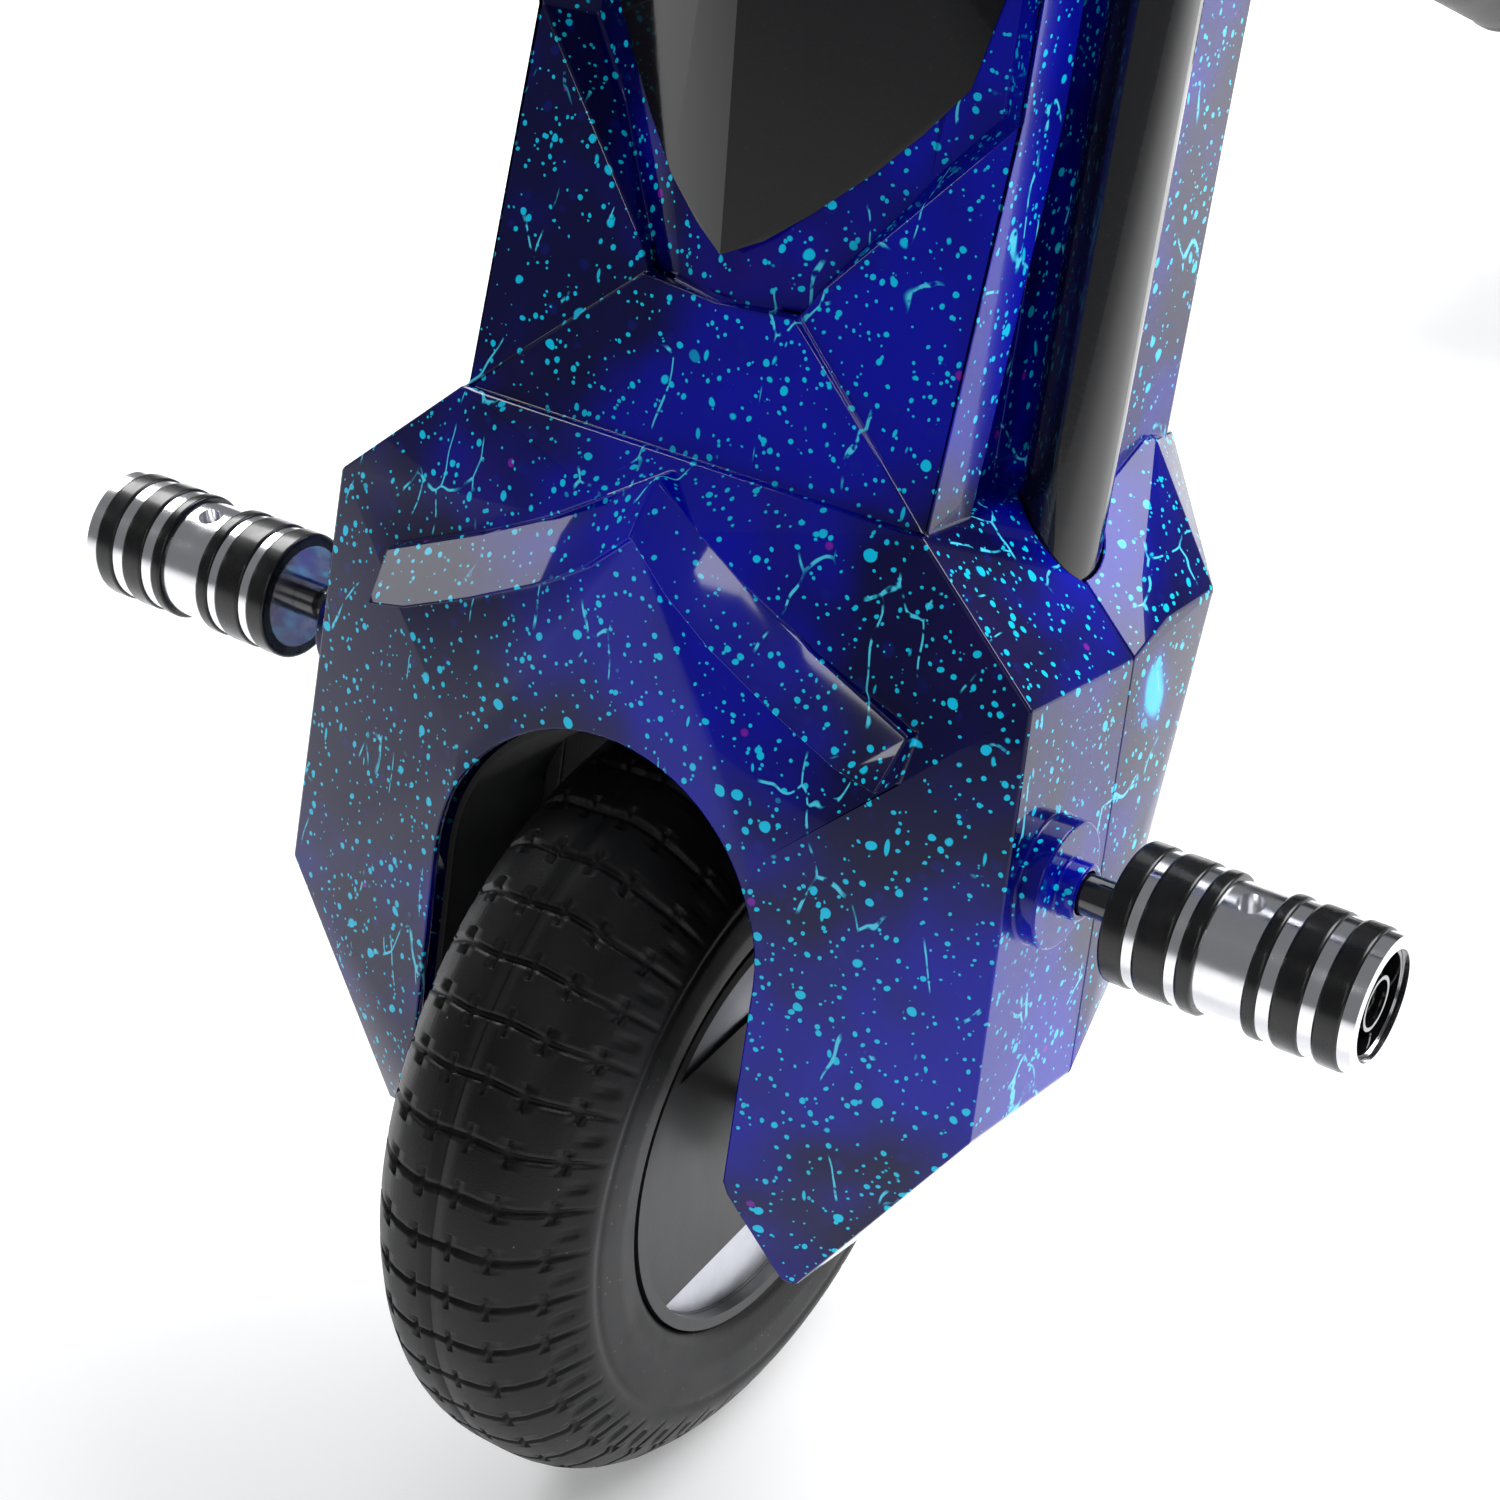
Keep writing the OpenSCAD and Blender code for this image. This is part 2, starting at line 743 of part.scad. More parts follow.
// Inner liner of the wheel arch, slotted for the fork legs
module wheel_liner() {
    leg_gap = 0.5;
    color([0.03, 0.03, 0.03]) raked() difference() {
        prism_v(nose_v + 8, 70) arch_shape(fit_gap);
        prism_v(nose_v, 80) arch_shape(2.2);
        box(-200, 200, nose_v, 80, -100, 16);
        both_sides() box(leg_in - leg_gap, leg_in + leg_t + leg_gap, -leg_w / 2 - leg_gap,
            leg_w / 2 + leg_gap, 60, 200);
    }
}

// ---------- Handlebar and controls ----------

bar_half = bar_w / 2;
module bar_place() {
    raked() translate([0, tube_v, bar_level + tube_r + 6]) children();
}

module handlebar() {
    color([0.05, 0.05, 0.05]) bar_place() disc_x(-bar_half + 3, bar_half - 3, tube_r, tube_r - 2);
}

module bar_clamps() {
    color([0.08, 0.08, 0.08]) bar_place() both_sides() difference() {
        translate([tube_x, 0, 0]) box(-17, 17, -19, 19, -tube_r - 6 - 22, tube_r + 6);
        disc_x(0, bar_half, tube_r + fit_gap / 2);
        translate([tube_x, 0, -tube_r - 40]) cylinder(h = 40 - 6 - 4, r = tube_r + fit_gap);
    }
}

module grip() {
    difference() {
        union() {
            disc_x(bar_half - grip_len, bar_half, grip_d / 2 - 1);
            disc_x(bar_half - grip_len, bar_half - grip_len + 5, grip_d / 2 + 3);
            disc_x(bar_half - 5, bar_half, grip_d / 2);
        }
        disc_x(0, bar_half - 3 + fit_gap, tube_r + run_gap);
    }
}

module grip_left() {
    color([0.06, 0.06, 0.06]) bar_place() grip();
}

module throttle_grip() {
    color([0.06, 0.06, 0.06]) bar_place() mirror([1, 0, 0]) grip();
}

control_x = bar_half - grip_len - 1;
module throttle_base() {
    color([0.09, 0.09, 0.09]) bar_place() mirror([1, 0, 0]) difference() {
        disc_x(control_x - 24, control_x, grip_d / 2 + 4);
        disc_x(0, bar_half, tube_r + fit_gap);
    }
}

lever_pivot_v = -30;
lever_t = 8;
lever_pin_r = 3;
module brake_bracket() {
    color([0.09, 0.09, 0.09]) bar_place() difference() {
        union() {
            disc_x(control_x - 18, control_x, tube_r + 5);
            box(control_x - 18, control_x, lever_pivot_v - 9, 0, -lever_t / 2 - 3.5, lever_t / 2 + 3.5);
        }
        disc_x(0, bar_half, tube_r + fit_gap);
        box(control_x - 20, control_x + 1, lever_pivot_v - 12, lever_pivot_v + 12,
            -lever_t / 2 - 0.3, lever_t / 2 + 0.3);
    }
    color([0.6, 0.6, 0.62]) bar_place() translate([control_x - 9, lever_pivot_v, 0])
        cylinder(h = lever_t + 7, r = lever_pin_r, center = true);
}

module brake_lever() {
    color([0.5, 0.5, 0.52]) bar_place() linear_extrude(lever_t, center = true) difference() {
        union() {
            hull() {
                translate([control_x - 9, lever_pivot_v]) circle(r = 8);
                translate([control_x + 16, lever_pivot_v - 12]) circle(r = 5.5);
            }
            hull() {
                translate([control_x + 16, lever_pivot_v - 12]) circle(r = 5.5);
                translate([control_x + grip_len - 22, lever_pivot_v - 10]) circle(r = 5);
            }
        }
        translate([control_x - 9, lever_pivot_v]) circle(r = lever_pin_r + run_gap);
    }
}

dash_h = 20;
module dash_housing() {
    color([0.05, 0.05, 0.05]) raked() difference() {
        hull() {
            box(-channel_x + 1, channel_x - 1, cheek_v + 6, column_back_v - 6,
                column_top + 0.2, column_top + 6);
            box(-channel_x + 10, channel_x - 10, -22, 66, column_top + 8, column_top + dash_h);
        }
        translate([0, 0, -0.01]) box(-channel_x + 6, channel_x - 6, cheek_v + 14, column_back_v - 14,
            column_top, column_top + dash_h - 10);
        box(-28, 28, 34, 58, column_top + dash_h - 3, column_top + dash_h + 5);
        translate([42, 46, column_top]) cylinder(h = 40, r = 7.5);
    }
}

module dash_screen() {
    color([0.1, 0.12, 0.15]) raked()
        box(-27.8, 27.8, 34.2, 57.8, column_top + dash_h - 3, column_top + dash_h - 1);
}

module power_button() {
    color([0.7, 0.1, 0.1]) raked() translate([42, 46, column_top + dash_h - 8]) cylinder(h = 10, r = 7.2);
}

// ---------- Rear frame ----------

module head_tube() {
    color([0.05, 0.05, 0.05]) raked() translate([0, steer_v, 0])
        ring_z(head_lo, head_hi, head_r, head_r - head_wall);
}

module head_bearings() {
    color([0.6, 0.6, 0.62]) raked() translate([0, steer_v, 0]) {
        ring_z(head_lo, head_lo + bearing_h, head_r - head_wall - 0.02, stem_r + run_gap);
        ring_z(head_hi - bearing_h, head_hi, head_r - head_wall - 0.02, stem_r + run_gap);
    }
}

module along_backbone() {
    translate(bend_point) rotate([backbone_tilt, 0, 0]) rotate([-90, 0, 0]) children();
}

// Solid line of the bent backbone, drawn in by t and longer by more at both ends: two straight runs
// that stop short of the bend and a ball that joins them
module backbone_line(t, more = 0) {
    line_r = backbone_r - t;
    trim = backbone_r * tan(abs(neck_tilt - backbone_tilt) / 2) + 0.5;
    translate(head_point) rotate([neck_tilt, 0, 0]) rotate([-90, 0, 0])
        translate([0, 0, -more]) cylinder(h = norm(neck_vec) + more - trim, r = line_r);
    translate(bend_point) sphere(r = norm([line_r, trim]) + 0.3);
    along_backbone() translate([0, 0, trim]) cylinder(h = backbone_len + more - trim, r = line_r);
}

module cross_bar(r) {
    translate(cross_point) rotate([0, 90, 0]) cylinder(h = caster_span + 60, r = r, center = true);
}

module backbone_tube() {
    color([0.05, 0.05, 0.05]) difference() {
        backbone_line(0);
        backbone_line(backbone_wall, 1);
        raked() translate([0, steer_v, 0]) cylinder(h = 600, r = head_r + 0.02);
        cross_bar(cross_r + 0.02);
    }
}

module rear_cross_tube() {
    color([0.05, 0.05, 0.05]) difference() {
        cross_bar(cross_r);
        translate(cross_point) rotate([0, 90, 0])
            cylinder(h = caster_span + 70, r = cross_r - backbone_wall, center = true);
    }
}

module caster_plates() {
    color([0.05, 0.05, 0.05]) both_sides() difference() {
        union() {
            translate([caster_x, kingpin_y, plate_z]) box(-30, 30, -54, 32, 0, plate_t);
            translate([caster_x, cross_point[1], plate_z]) box(-22, 22, -18, 18, plate_t, 16);
        }
        cross_bar(cross_r + 0.02);
        translate([caster_x, kingpin_y, plate_z - 1]) cylinder(h = 40, r = kingpin_r + run_gap);
    }
}

seat_bolt_x = 60;
seat_bolt_rows = [seat_y - 100, seat_y + 90];
module seat_bolt_places() {
    both_sides() for (y = seat_bolt_rows) translate([seat_bolt_x, y, 0]) children();
}

module seat_brackets() {
    rail_top = seat_z - seat_wall;
    color([0.05, 0.05, 0.05]) difference() {
        for (y = seat_bolt_rows) translate([0, y, 0]) {
            box(-16, 16, -4, 4, backbone_z(y), rail_top - 5);
            box(-80, 80, -18, 18, rail_top - 5, rail_top);
        }
        along_backbone() cylinder(h = backbone_len + 100, r = backbone_r + 0.02);
        cross_bar(cross_r + 0.02);
        seat_bolt_places() translate([0, 0, rail_top - 10]) cylinder(h = 12, r = 4.2);
    }
}

// Bucket seat: a pan, two side walls that rise towards the back, and a leaning back
seat_wall = 6;
side_rise = 40;
seat_front = seat_y - seat_d / 2;
seat_rear = seat_y + seat_d / 2;
back_lean = seat_back_reach - seat_d / 2;
module seat_side_outline() {
    polygon([
        [seat_front, seat_z - seat_wall], [seat_rear - 30, seat_z - seat_wall], [seat_rear, seat_z + 24],
        [seat_rear + back_lean, seat_z + seat_back_h], [seat_rear + back_lean - 22, seat_z + seat_back_h],
        [seat_rear - 56, seat_z + side_rise + 66], [seat_rear - 110, seat_z + side_rise + 14],
        [seat_front + 60, seat_z + side_rise], [seat_front, seat_z + 14]
    ]);
}

module seat_space_outline() {
    polygon([
        [seat_front - 1, seat_z], [seat_rear - 33, seat_z], [seat_rear - seat_wall - 1, seat_z + 26],
        [seat_rear + back_lean - seat_wall - 1, seat_z + seat_back_h + 2],
        [seat_front - 1, seat_z + seat_back_h + 2]
    ]);
}

module seat_form() {
    rotate([90, 0, 90]) linear_extrude(seat_w, center = true) seat_side_outline();
}

module seat_space() {
    rotate([90, 0, 90]) linear_extrude(seat_w - 2 * seat_wall, center = true) seat_space_outline();
}

module seat_holes() {
    seat_bolt_places() translate([0, 0, seat_z - 12]) cylinder(h = 14, r = 4.2);
}

module seat_shell() {
    color([0.05, 0.05, 0.05]) difference() {
        seat_form();
        seat_space();
        seat_holes();
    }
}

pad_t = 16;
module seat_pad() {
    x = seat_w / 2 - seat_wall - 14;
    color([0.1, 0.1, 0.11]) difference() {
        box(-x, x, seat_front + 14, seat_rear - 44, seat_z + 0.3, seat_z + pad_t);
        seat_bolt_places() translate([0, 0, seat_z - 1]) cylinder(h = 5.5, r = 8.5);
    }
}

module seat_bolts() {
    color([0.6, 0.6, 0.62]) seat_bolt_places() {
        translate([0, 0, seat_z - 20]) cylinder(h = 20, r = 4);
        translate([0, 0, seat_z]) cylinder(h = 3.5, r = 7);
        translate([0, 0, seat_z - 20]) difference() {
            cylinder(h = 6, r = 7.5, $fn = 6);
            translate([0, 0, -1]) cylinder(h = 8, r = 4);
        }
    }
}

// ---------- Battery ----------

case_y = seat_y + seat_d / 2 - 40;
case_top = backbone_z(case_y + case_l) - backbone_r / cos(backbone_tilt) - 5;
case_z = case_top - case_h;
module battery_case() {
    color([0.05, 0.05, 0.05]) difference() {
        box(-case_w / 2, case_w / 2, case_y, case_y + case_l, case_z, case_top - 4);
        box(-case_w / 2 + 3, case_w / 2 - 3, case_y + 3, case_y + case_l - 3, case_z + 3, case_top);
        translate([0, case_y + 40, case_z + 24]) disc_x(case_w / 2 - 5, case_w / 2 + 1, 10 + fit_gap);
    }
}

module battery_lid() {
    color([0.06, 0.06, 0.06]) {
        difference() {
            box(-case_w / 2, case_w / 2, case_y, case_y + case_l, case_top - 4 + 0.05, case_top);
            along_backbone() cylinder(h = backbone_len, r = backbone_r + 0.05);
        }
        difference() {
            box(-20, 20, case_y + 12, case_y + 28, case_top, backbone_z(case_y + 20));
            along_backbone() cylinder(h = backbone_len, r = backbone_r + 0.05);
        }
        difference() {
            box(-20, 20, case_y + case_l - 28, case_y + case_l - 12,
                case_top, backbone_z(case_y + case_l - 20));
            along_backbone() cylinder(h = backbone_len, r = backbone_r + 0.05);
        }
    }
}

cell_r = 9;
cell_pitch = 2 * cell_r + 1;
inside_z = case_z + 3.2;
module battery_pack() {
    color([0.1, 0.35, 0.6]) difference() {
        box(-case_w / 2 + 8, case_w / 2 - 26, case_y + 6, case_y + 6 + 4 * cell_pitch,
            inside_z, inside_z + 2 * cell_r + 2);
        for (k = [0 : 3]) translate([0, case_y + 6 + (k + 0.5) * cell_pitch, inside_z + 2 * cell_r + 8])
            disc_x(-case_w, case_w, cell_r);
    }
}

module motor_controller() {
    color([0.5, 0.5, 0.52]) difference() {
        box(-case_w / 2 + 12, case_w / 2 - 30, case_y + case_l - 62, case_y + case_l - 8,
            inside_z, case_z + 31);
        for (k = [0 : 5]) translate([0, case_y + case_l - 56 + k * 8, 0])
            box(-case_w, case_w, 0, 4, case_z + 25, case_z + 40);
    }
}

socket_place = [case_w / 2, case_y + 40, case_z + 24];
module charge_socket() {
    color([0.15, 0.15, 0.15]) translate(socket_place) difference() {
        union() {
            disc_x(-14, 0.5, 10);
            disc_x(0.05, 3, 12.5);
        }
        disc_x(-8, 4, 6);
    }
}

// Rubber cap on a living hinge above the socket
cap_hinge_z = 15.5;
module charge_cap() {
    color([0.1, 0.1, 0.1]) translate(socket_place) {
        disc_x(3.2, 6.2, 12.5);
        disc_x(1, 3.2, 5.5);
        difference() {
            box(3.2, 6.2, -5, 5, 8, cap_hinge_z + 2.5);
            disc_x(0, 3.1, 13);
        }
    }
}

// ---------- Casters ----------

fork_half = caster_w / 2 + 2.5;
fork_t = 3;
caster_axle_r = 4;
fork_top = plate_z - swivel_gap;
module caster_fork() {
    translate([0, 0, fork_top - 4]) {
        cylinder(h = 4, r = 26);
        box(-fork_half - fork_t, fork_half + fork_t, 0, caster_trail + 8, 0, 4);
    }
    both_sides() hull() {
        box(fork_half, fork_half + fork_t, -16, caster_trail + 8, fork_top - 5, fork_top - 4);
        translate([0, caster_trail, caster_r]) disc_x(fork_half, fork_half + fork_t, 11);
    }
    translate([0, 0, fork_top]) cylinder(h = plate_z + plate_t + 8 - fork_top, r = kingpin_r);
    translate([0, 0, plate_z + plate_t + 1]) cylinder(h = 7, r = 10, $fn = 6);
    translate([0, caster_trail, caster_r])
        disc_x(-fork_half - fork_t - 4, fork_half + fork_t + 4, caster_axle_r);
    translate([0, caster_trail, caster_r]) both_sides() rotate([0, 90, 0])
        translate([0, 0, fork_half + fork_t]) cylinder(h = 4, r = 7, $fn = 6);
}

module caster_wheel() {
    translate([0, caster_trail, caster_r]) turned() polygon([
        [caster_axle_r + run_gap, -caster_w / 2], [14, -caster_w / 2], [16, -caster_w / 2 + 4],
        [caster_r - 14, -caster_w / 2 + 4], [caster_r - 12, -caster_w / 2 + 1],
        [caster_r - 5, -caster_w / 2 + 1], [caster_r, -caster_w / 2 + 7],
        [caster_r, caster_w / 2 - 7], [caster_r - 5, caster_w / 2 - 1],
        [caster_r - 12, caster_w / 2 - 1], [caster_r - 14, caster_w / 2 - 4],
        [16, caster_w / 2 - 4], [14, caster_w / 2], [caster_axle_r + run_gap, caster_w / 2]
    ]);
}

module caster_fork_right() {
    color([0.6, 0.6, 0.62]) translate([-caster_x, kingpin_y, 0]) caster_fork();
}

module caster_fork_left() {
    color([0.6, 0.6, 0.62]) translate([caster_x, kingpin_y, 0]) caster_fork();
}

module caster_wheel_right() {
    color([0.1, 0.1, 0.1]) translate([-caster_x, kingpin_y, 0]) caster_wheel();
}

module caster_wheel_left() {
    color([0.1, 0.1, 0.1]) translate([caster_x, kingpin_y, 0]) caster_wheel();
}

head_tube();
head_bearings();
backbone_tube();
rear_cross_tube();
caster_plates();
seat_brackets();
seat_shell();
seat_pad();
seat_bolts();
battery_case();
battery_lid();
battery_pack();
motor_controller();
charge_socket();
charge_cap();
steering_stem();
fork_bridge();
lower_crown();
upper_crown();
fork_tubes();
fork_leg_left();
fork_leg_right();
peg_brackets();
peg_studs();
peg_core_left();
peg_core_right();
peg_rings_left();
peg_rings_right();
peg_plugs();
front_cover();
rear_cover();
visor();
headlight();
wheel_liner();
cover_screws();
wheel_axle();
axle_nuts();
motor_stator();
handlebar();
bar_clamps();
grip_left();
throttle_grip();
throttle_base();
brake_bracket();
brake_lever();
dash_housing();
dash_screen();
power_button();
tyre();
inner_tube();
rim_shell();
hub_cover_left();
hub_cover_right();
hub_windows();
magnet_ring();
wheel_bearings();
caster_fork_left();
caster_wheel_left();
caster_fork_right();
caster_wheel_right();
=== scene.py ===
"""Looks of an electric drift trike: speckled fairing, treaded tyre, foot pegs, seat and casters.

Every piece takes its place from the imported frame. Lengths are metres, +Z is up, the trike faces -Y and
the rider's left is +X. Positions on the steered unit are given as x, v and w: w runs up along the
steering axis and v runs back from it, both measured from the wheel centre.
"""
import json
import math

import bmesh
import bpy
import numpy as np
from bpy.props import FloatProperty, FloatVectorProperty, IntProperty, PointerProperty
from bpy.types import Operator, Panel, PropertyGroup
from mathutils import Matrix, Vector


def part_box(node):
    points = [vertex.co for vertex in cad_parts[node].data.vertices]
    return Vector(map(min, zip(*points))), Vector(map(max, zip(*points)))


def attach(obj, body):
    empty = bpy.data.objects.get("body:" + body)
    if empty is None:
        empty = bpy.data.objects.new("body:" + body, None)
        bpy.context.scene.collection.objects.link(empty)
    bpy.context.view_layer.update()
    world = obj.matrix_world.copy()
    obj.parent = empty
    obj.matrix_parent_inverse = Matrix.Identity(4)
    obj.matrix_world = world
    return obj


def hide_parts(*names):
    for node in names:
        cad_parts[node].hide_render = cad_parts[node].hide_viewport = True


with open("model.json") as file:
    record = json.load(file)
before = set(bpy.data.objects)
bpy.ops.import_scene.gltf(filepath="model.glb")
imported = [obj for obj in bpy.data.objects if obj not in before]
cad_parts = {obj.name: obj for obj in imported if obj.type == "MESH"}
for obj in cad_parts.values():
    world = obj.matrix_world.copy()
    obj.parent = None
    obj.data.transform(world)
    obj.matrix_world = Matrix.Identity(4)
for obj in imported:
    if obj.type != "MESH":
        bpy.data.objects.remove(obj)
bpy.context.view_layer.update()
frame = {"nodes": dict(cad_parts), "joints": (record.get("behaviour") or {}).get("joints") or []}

bl_info = {
    "name": "Drift trike looks",
    "version": (1, 0, 0),
    "blender": (4, 5, 0),
    "location": "3D View > Sidebar > Trike",
    "description": "Builds the visible surfaces and finishes of a drift trike on its mechanical frame",
    "category": "Object",
}

MM = 0.001
TAU = 2 * math.pi
EYE_OFFSET = (0.4528, -0.6361, 0.6552)      # camera from the front wheel's centre
EYE_TURN = math.radians(33.8776)            # its turn to the trike's right side, about Z
EYE_DROP = math.radians(34.1977)            # its tilt below level
EYE_LENS = 76.94
LAMPS = (                                   # name, place from above the front wheel, size, power
    ("key", (1.4, 1.9, 2.5), 2.2, 135.0), ("left", (-1.9, 1.4, 2.3), 1.6, 85.0),
    ("front", (1.3, -2.2, 1.5), 1.4, 7.0), ("strip", (0.05, -1.3, 1.52), 0.2, 1.3),
    ("strip_left", (-1.66, -0.66, 0.9), 0.26, 1.2),
)


# ---------- Places taken from the frame ----------

def joint(name):
    """The frame's record of one joint."""
    return next(j for j in frame["joints"] if j["name"] == name)


def middle(node):
    """Centre of a node's box, as an array."""
    low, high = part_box(node)
    return (np.array(low) + np.array(high)) / 2


def half_size(node):
    """Half of a node's box along X, Y and Z, as an array."""
    low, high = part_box(node)
    return (np.array(high) - np.array(low)) / 2


WHEEL = middle("tyre")
TYRE_R = half_size("tyre")[2]
TYRE_HALF = half_size("tyre")[0]
UP = np.array(joint("steering")["axis"], float)
UP = UP / np.linalg.norm(UP)
BACK = np.array([0.0, UP[2], -UP[1]])
SIDE = np.array([1.0, 0.0, 0.0])


# ---------- Sizes and colours ----------

class TrikeSizes(PropertyGroup):
    """Sizes that shape the visible surfaces and change nothing mechanical."""

    tread_blocks: IntProperty(name="Tread blocks", description="Cross grooves round the front tyre",
                              default=46, min=20, max=80)
    tread_depth: FloatProperty(name="Tread depth", description="Depth of the cross grooves",
                               default=1.7 * MM, min=0.0, max=3 * MM, unit="LENGTH")
    shell_edge: FloatProperty(name="Shell edge", description="Rounding of the painted covers' edges",
                              default=0.9 * MM, min=0.2 * MM, max=2 * MM, unit="LENGTH")
    part_edge: FloatProperty(name="Part edge", description="Rounding of small machined and moulded parts",
                             default=0.8 * MM, min=0.1 * MM, max=2 * MM, unit="LENGTH")
    brow_lean: FloatProperty(name="Brow lean",
                             description="How far the brow's upper edge lies behind its lower",
                             default=10 * MM, min=0.0, max=12 * MM, unit="LENGTH")
    pad_pull: FloatProperty(name="Pad pull", description="Share by which the seat cushion's sides pull in",
                            default=0.025, min=0.0, max=0.06)


def colour(name, description, value):
    """A colour property with a linear default."""
    return FloatVectorProperty(name=name, description=description, subtype="COLOR", size=3,
                               min=0.0, max=1.0, default=value)


class TrikeColours(PropertyGroup):
    """Colours of the finishes, in linear light."""

    deep: colour("Deep blue", "Darkest blue of the printed film", (0.0010, 0.0012, 0.052))
    bright: colour("Bright blue", "Most saturated blue of the printed film", (0.0006, 0.0035, 0.42))
    violet: colour("Violet", "Faint clouds in the printed film", (0.020, 0.004, 0.12))
    speckle: colour("Speckle", "Droplets of the printed film", (0.0, 0.66, 1.0))
    rubber: colour("Rubber", "Tyre and grip rubber", (0.0045, 0.0045, 0.0048))
    metal: colour("Bare metal", "Polished aluminium", (0.86, 0.86, 0.89))
    black: colour("Black paint", "Gloss black of the tubes", (0.006, 0.006, 0.007))
    fabric: colour("Seat fabric", "Woven seat cover", (0.02, 0.021, 0.024))


def sizes():
    return bpy.context.scene.trike_sizes


def colours():
    return bpy.context.scene.trike_colours


# ---------- Shader helpers ----------

class Value:
    """A socket that takes part in sums and products; each expression adds its Math nodes."""

    def __init__(self, paint, socket):
        self.paint = paint
        self.socket = socket

    def maths(self, operation, first, second=None):
        inputs = {0: first} if second is None else {0: first, 1: second}
        return self.paint.node("ShaderNodeMath", inputs, operation=operation)

    def __add__(self, other):
        return self.maths("ADD", self, other)

    __radd__ = __add__

    def __sub__(self, other):
        return self.maths("SUBTRACT", self, other)

    def __rsub__(self, other):
        return self.maths("SUBTRACT", other, self)

    def __mul__(self, other):
        return self.maths("MULTIPLY", self, other)

    __rmul__ = __mul__

    def __pow__(self, other):
        return self.maths("POWER", self, other)

    def largest(self, other):
        return self.maths("MAXIMUM", self, other)

    def sine(self):
        return self.maths("SINE", self)

    def step(self, low, high):
        """0 below low, 1 above high and a smooth change between them; low may be the larger."""
        return self.paint.node("ShaderNodeMapRange", {0: self, 1: low, 2: high, 3: 0.0, 4: 1.0},
                               interpolation_type="SMOOTHSTEP")


class Paint:
    """One material's nodes: a Principled shader and what feeds it."""

    def __init__(self, name):
        self.material = bpy.data.materials.new(name)
        self.material.use_nodes = True
        self.tree = self.material.node_tree
        self.shader = self.tree.nodes["Principled BSDF"]
        self.place = self.node("ShaderNodeTexCoord", {}, output="Object")

    def node(self, kind, inputs, output=0, ramp=None, **settings):
        """Adds a node: its settings first, then a value or a link on each socket named or numbered."""
        made = self.tree.nodes.new(kind)
        for name, value in settings.items():
            setattr(made, name, value)
        if ramp is not None:
            stops = made.color_ramp.elements
            while len(stops) < len(ramp):
                stops.new(0.5)
            for stop, (position, tint) in zip(stops, ramp):
                stop.position = position
                stop.color = (*tint, 1.0)
        for name, value in inputs.items():
            self.feed(made.inputs[name], value)
        return Value(self, made.outputs[output])

    def feed(self, socket, value):
        if isinstance(value, Value):
            self.tree.links.new(value.socket, socket)
        elif isinstance(value, (tuple, list)) and len(value) == 3 and socket.type == "RGBA":
            socket.default_value = (*value, 1.0)
        else:
            socket.default_value = value

    def mix(self, factor, first, second):
        """A colour between two others; a mix node's colour sockets are its seventh and eighth."""
        made = self.node("ShaderNodeMix", {0: factor}, output=2, data_type="RGBA")
        owner = made.socket.node
        self.feed(owner.inputs[6], tuple(first) if not isinstance(first, Value) else first)
        self.feed(owner.inputs[7], tuple(second) if not isinstance(second, Value) else second)
        return made

    def scaled(self, x=1.0, y=1.0, z=1.0, turn=(0.0, 0.0, 0.0), shift=(0.0, 0.0, 0.0), where=None):
        """Object coordinates stretched, turned and moved by a Mapping node."""
        return self.node("ShaderNodeMapping", {"Vector": where or self.place, "Scale": (x, y, z),
                                               "Rotation": turn, "Location": shift})

    def split(self, where):
        """The three numbers of a vector."""
        x = self.node("ShaderNodeSeparateXYZ", {0: where})
        owner = x.socket.node
        return x, Value(self, owner.outputs[1]), Value(self, owner.outputs[2])

    def noise(self, scale, detail=2.0, rough=0.5, where=None, output=0):
        return self.node("ShaderNodeTexNoise", {"Vector": where or self.place, "Scale": scale,
                                                "Detail": detail, "Roughness": rough}, output=output)

    def warped(self, amount, scale, where=None):
        """Coordinates pushed about by coloured noise."""
        push = self.node("ShaderNodeVectorMath", {0: self.noise(scale, 1.0, where=where, output=1),
                                                  1: (0.5, 0.5, 0.5)}, operation="SUBTRACT")
        far = self.node("ShaderNodeVectorMath", {0: push, "Scale": amount}, operation="SCALE")
        return self.node("ShaderNodeVectorMath", {0: where or self.place, 1: far}, operation="ADD")

    def cells(self, scale, where=None, feature="F1"):
        """Voronoi cells: distance to the nearest point, and a random number for each cell."""
        near = self.node("ShaderNodeTexVoronoi", {"Vector": where or self.place, "Scale": scale},
                         output="Distance", feature=feature)
        if feature != "F1":
            return near
        owner = near.socket.node
        red, green, _ = self.split(Value(self, owner.outputs["Color"]))
        return near, red, green

    def bump(self, height, distance, strength=1.0, normal=None):
        inputs = {"Height": height, "Distance": distance, "Strength": strength}
        if normal is not None:
            inputs["Normal"] = normal
        return self.node("ShaderNodeBump", inputs)

    def finish(self, **sockets):
        """Sets the Principled shader's sockets, named with underscores for spaces."""
        for name, value in sockets.items():
            self.feed(self.shader.inputs[name.replace("_", " ")], value)
        return self.material


# ---------- Finishes ----------

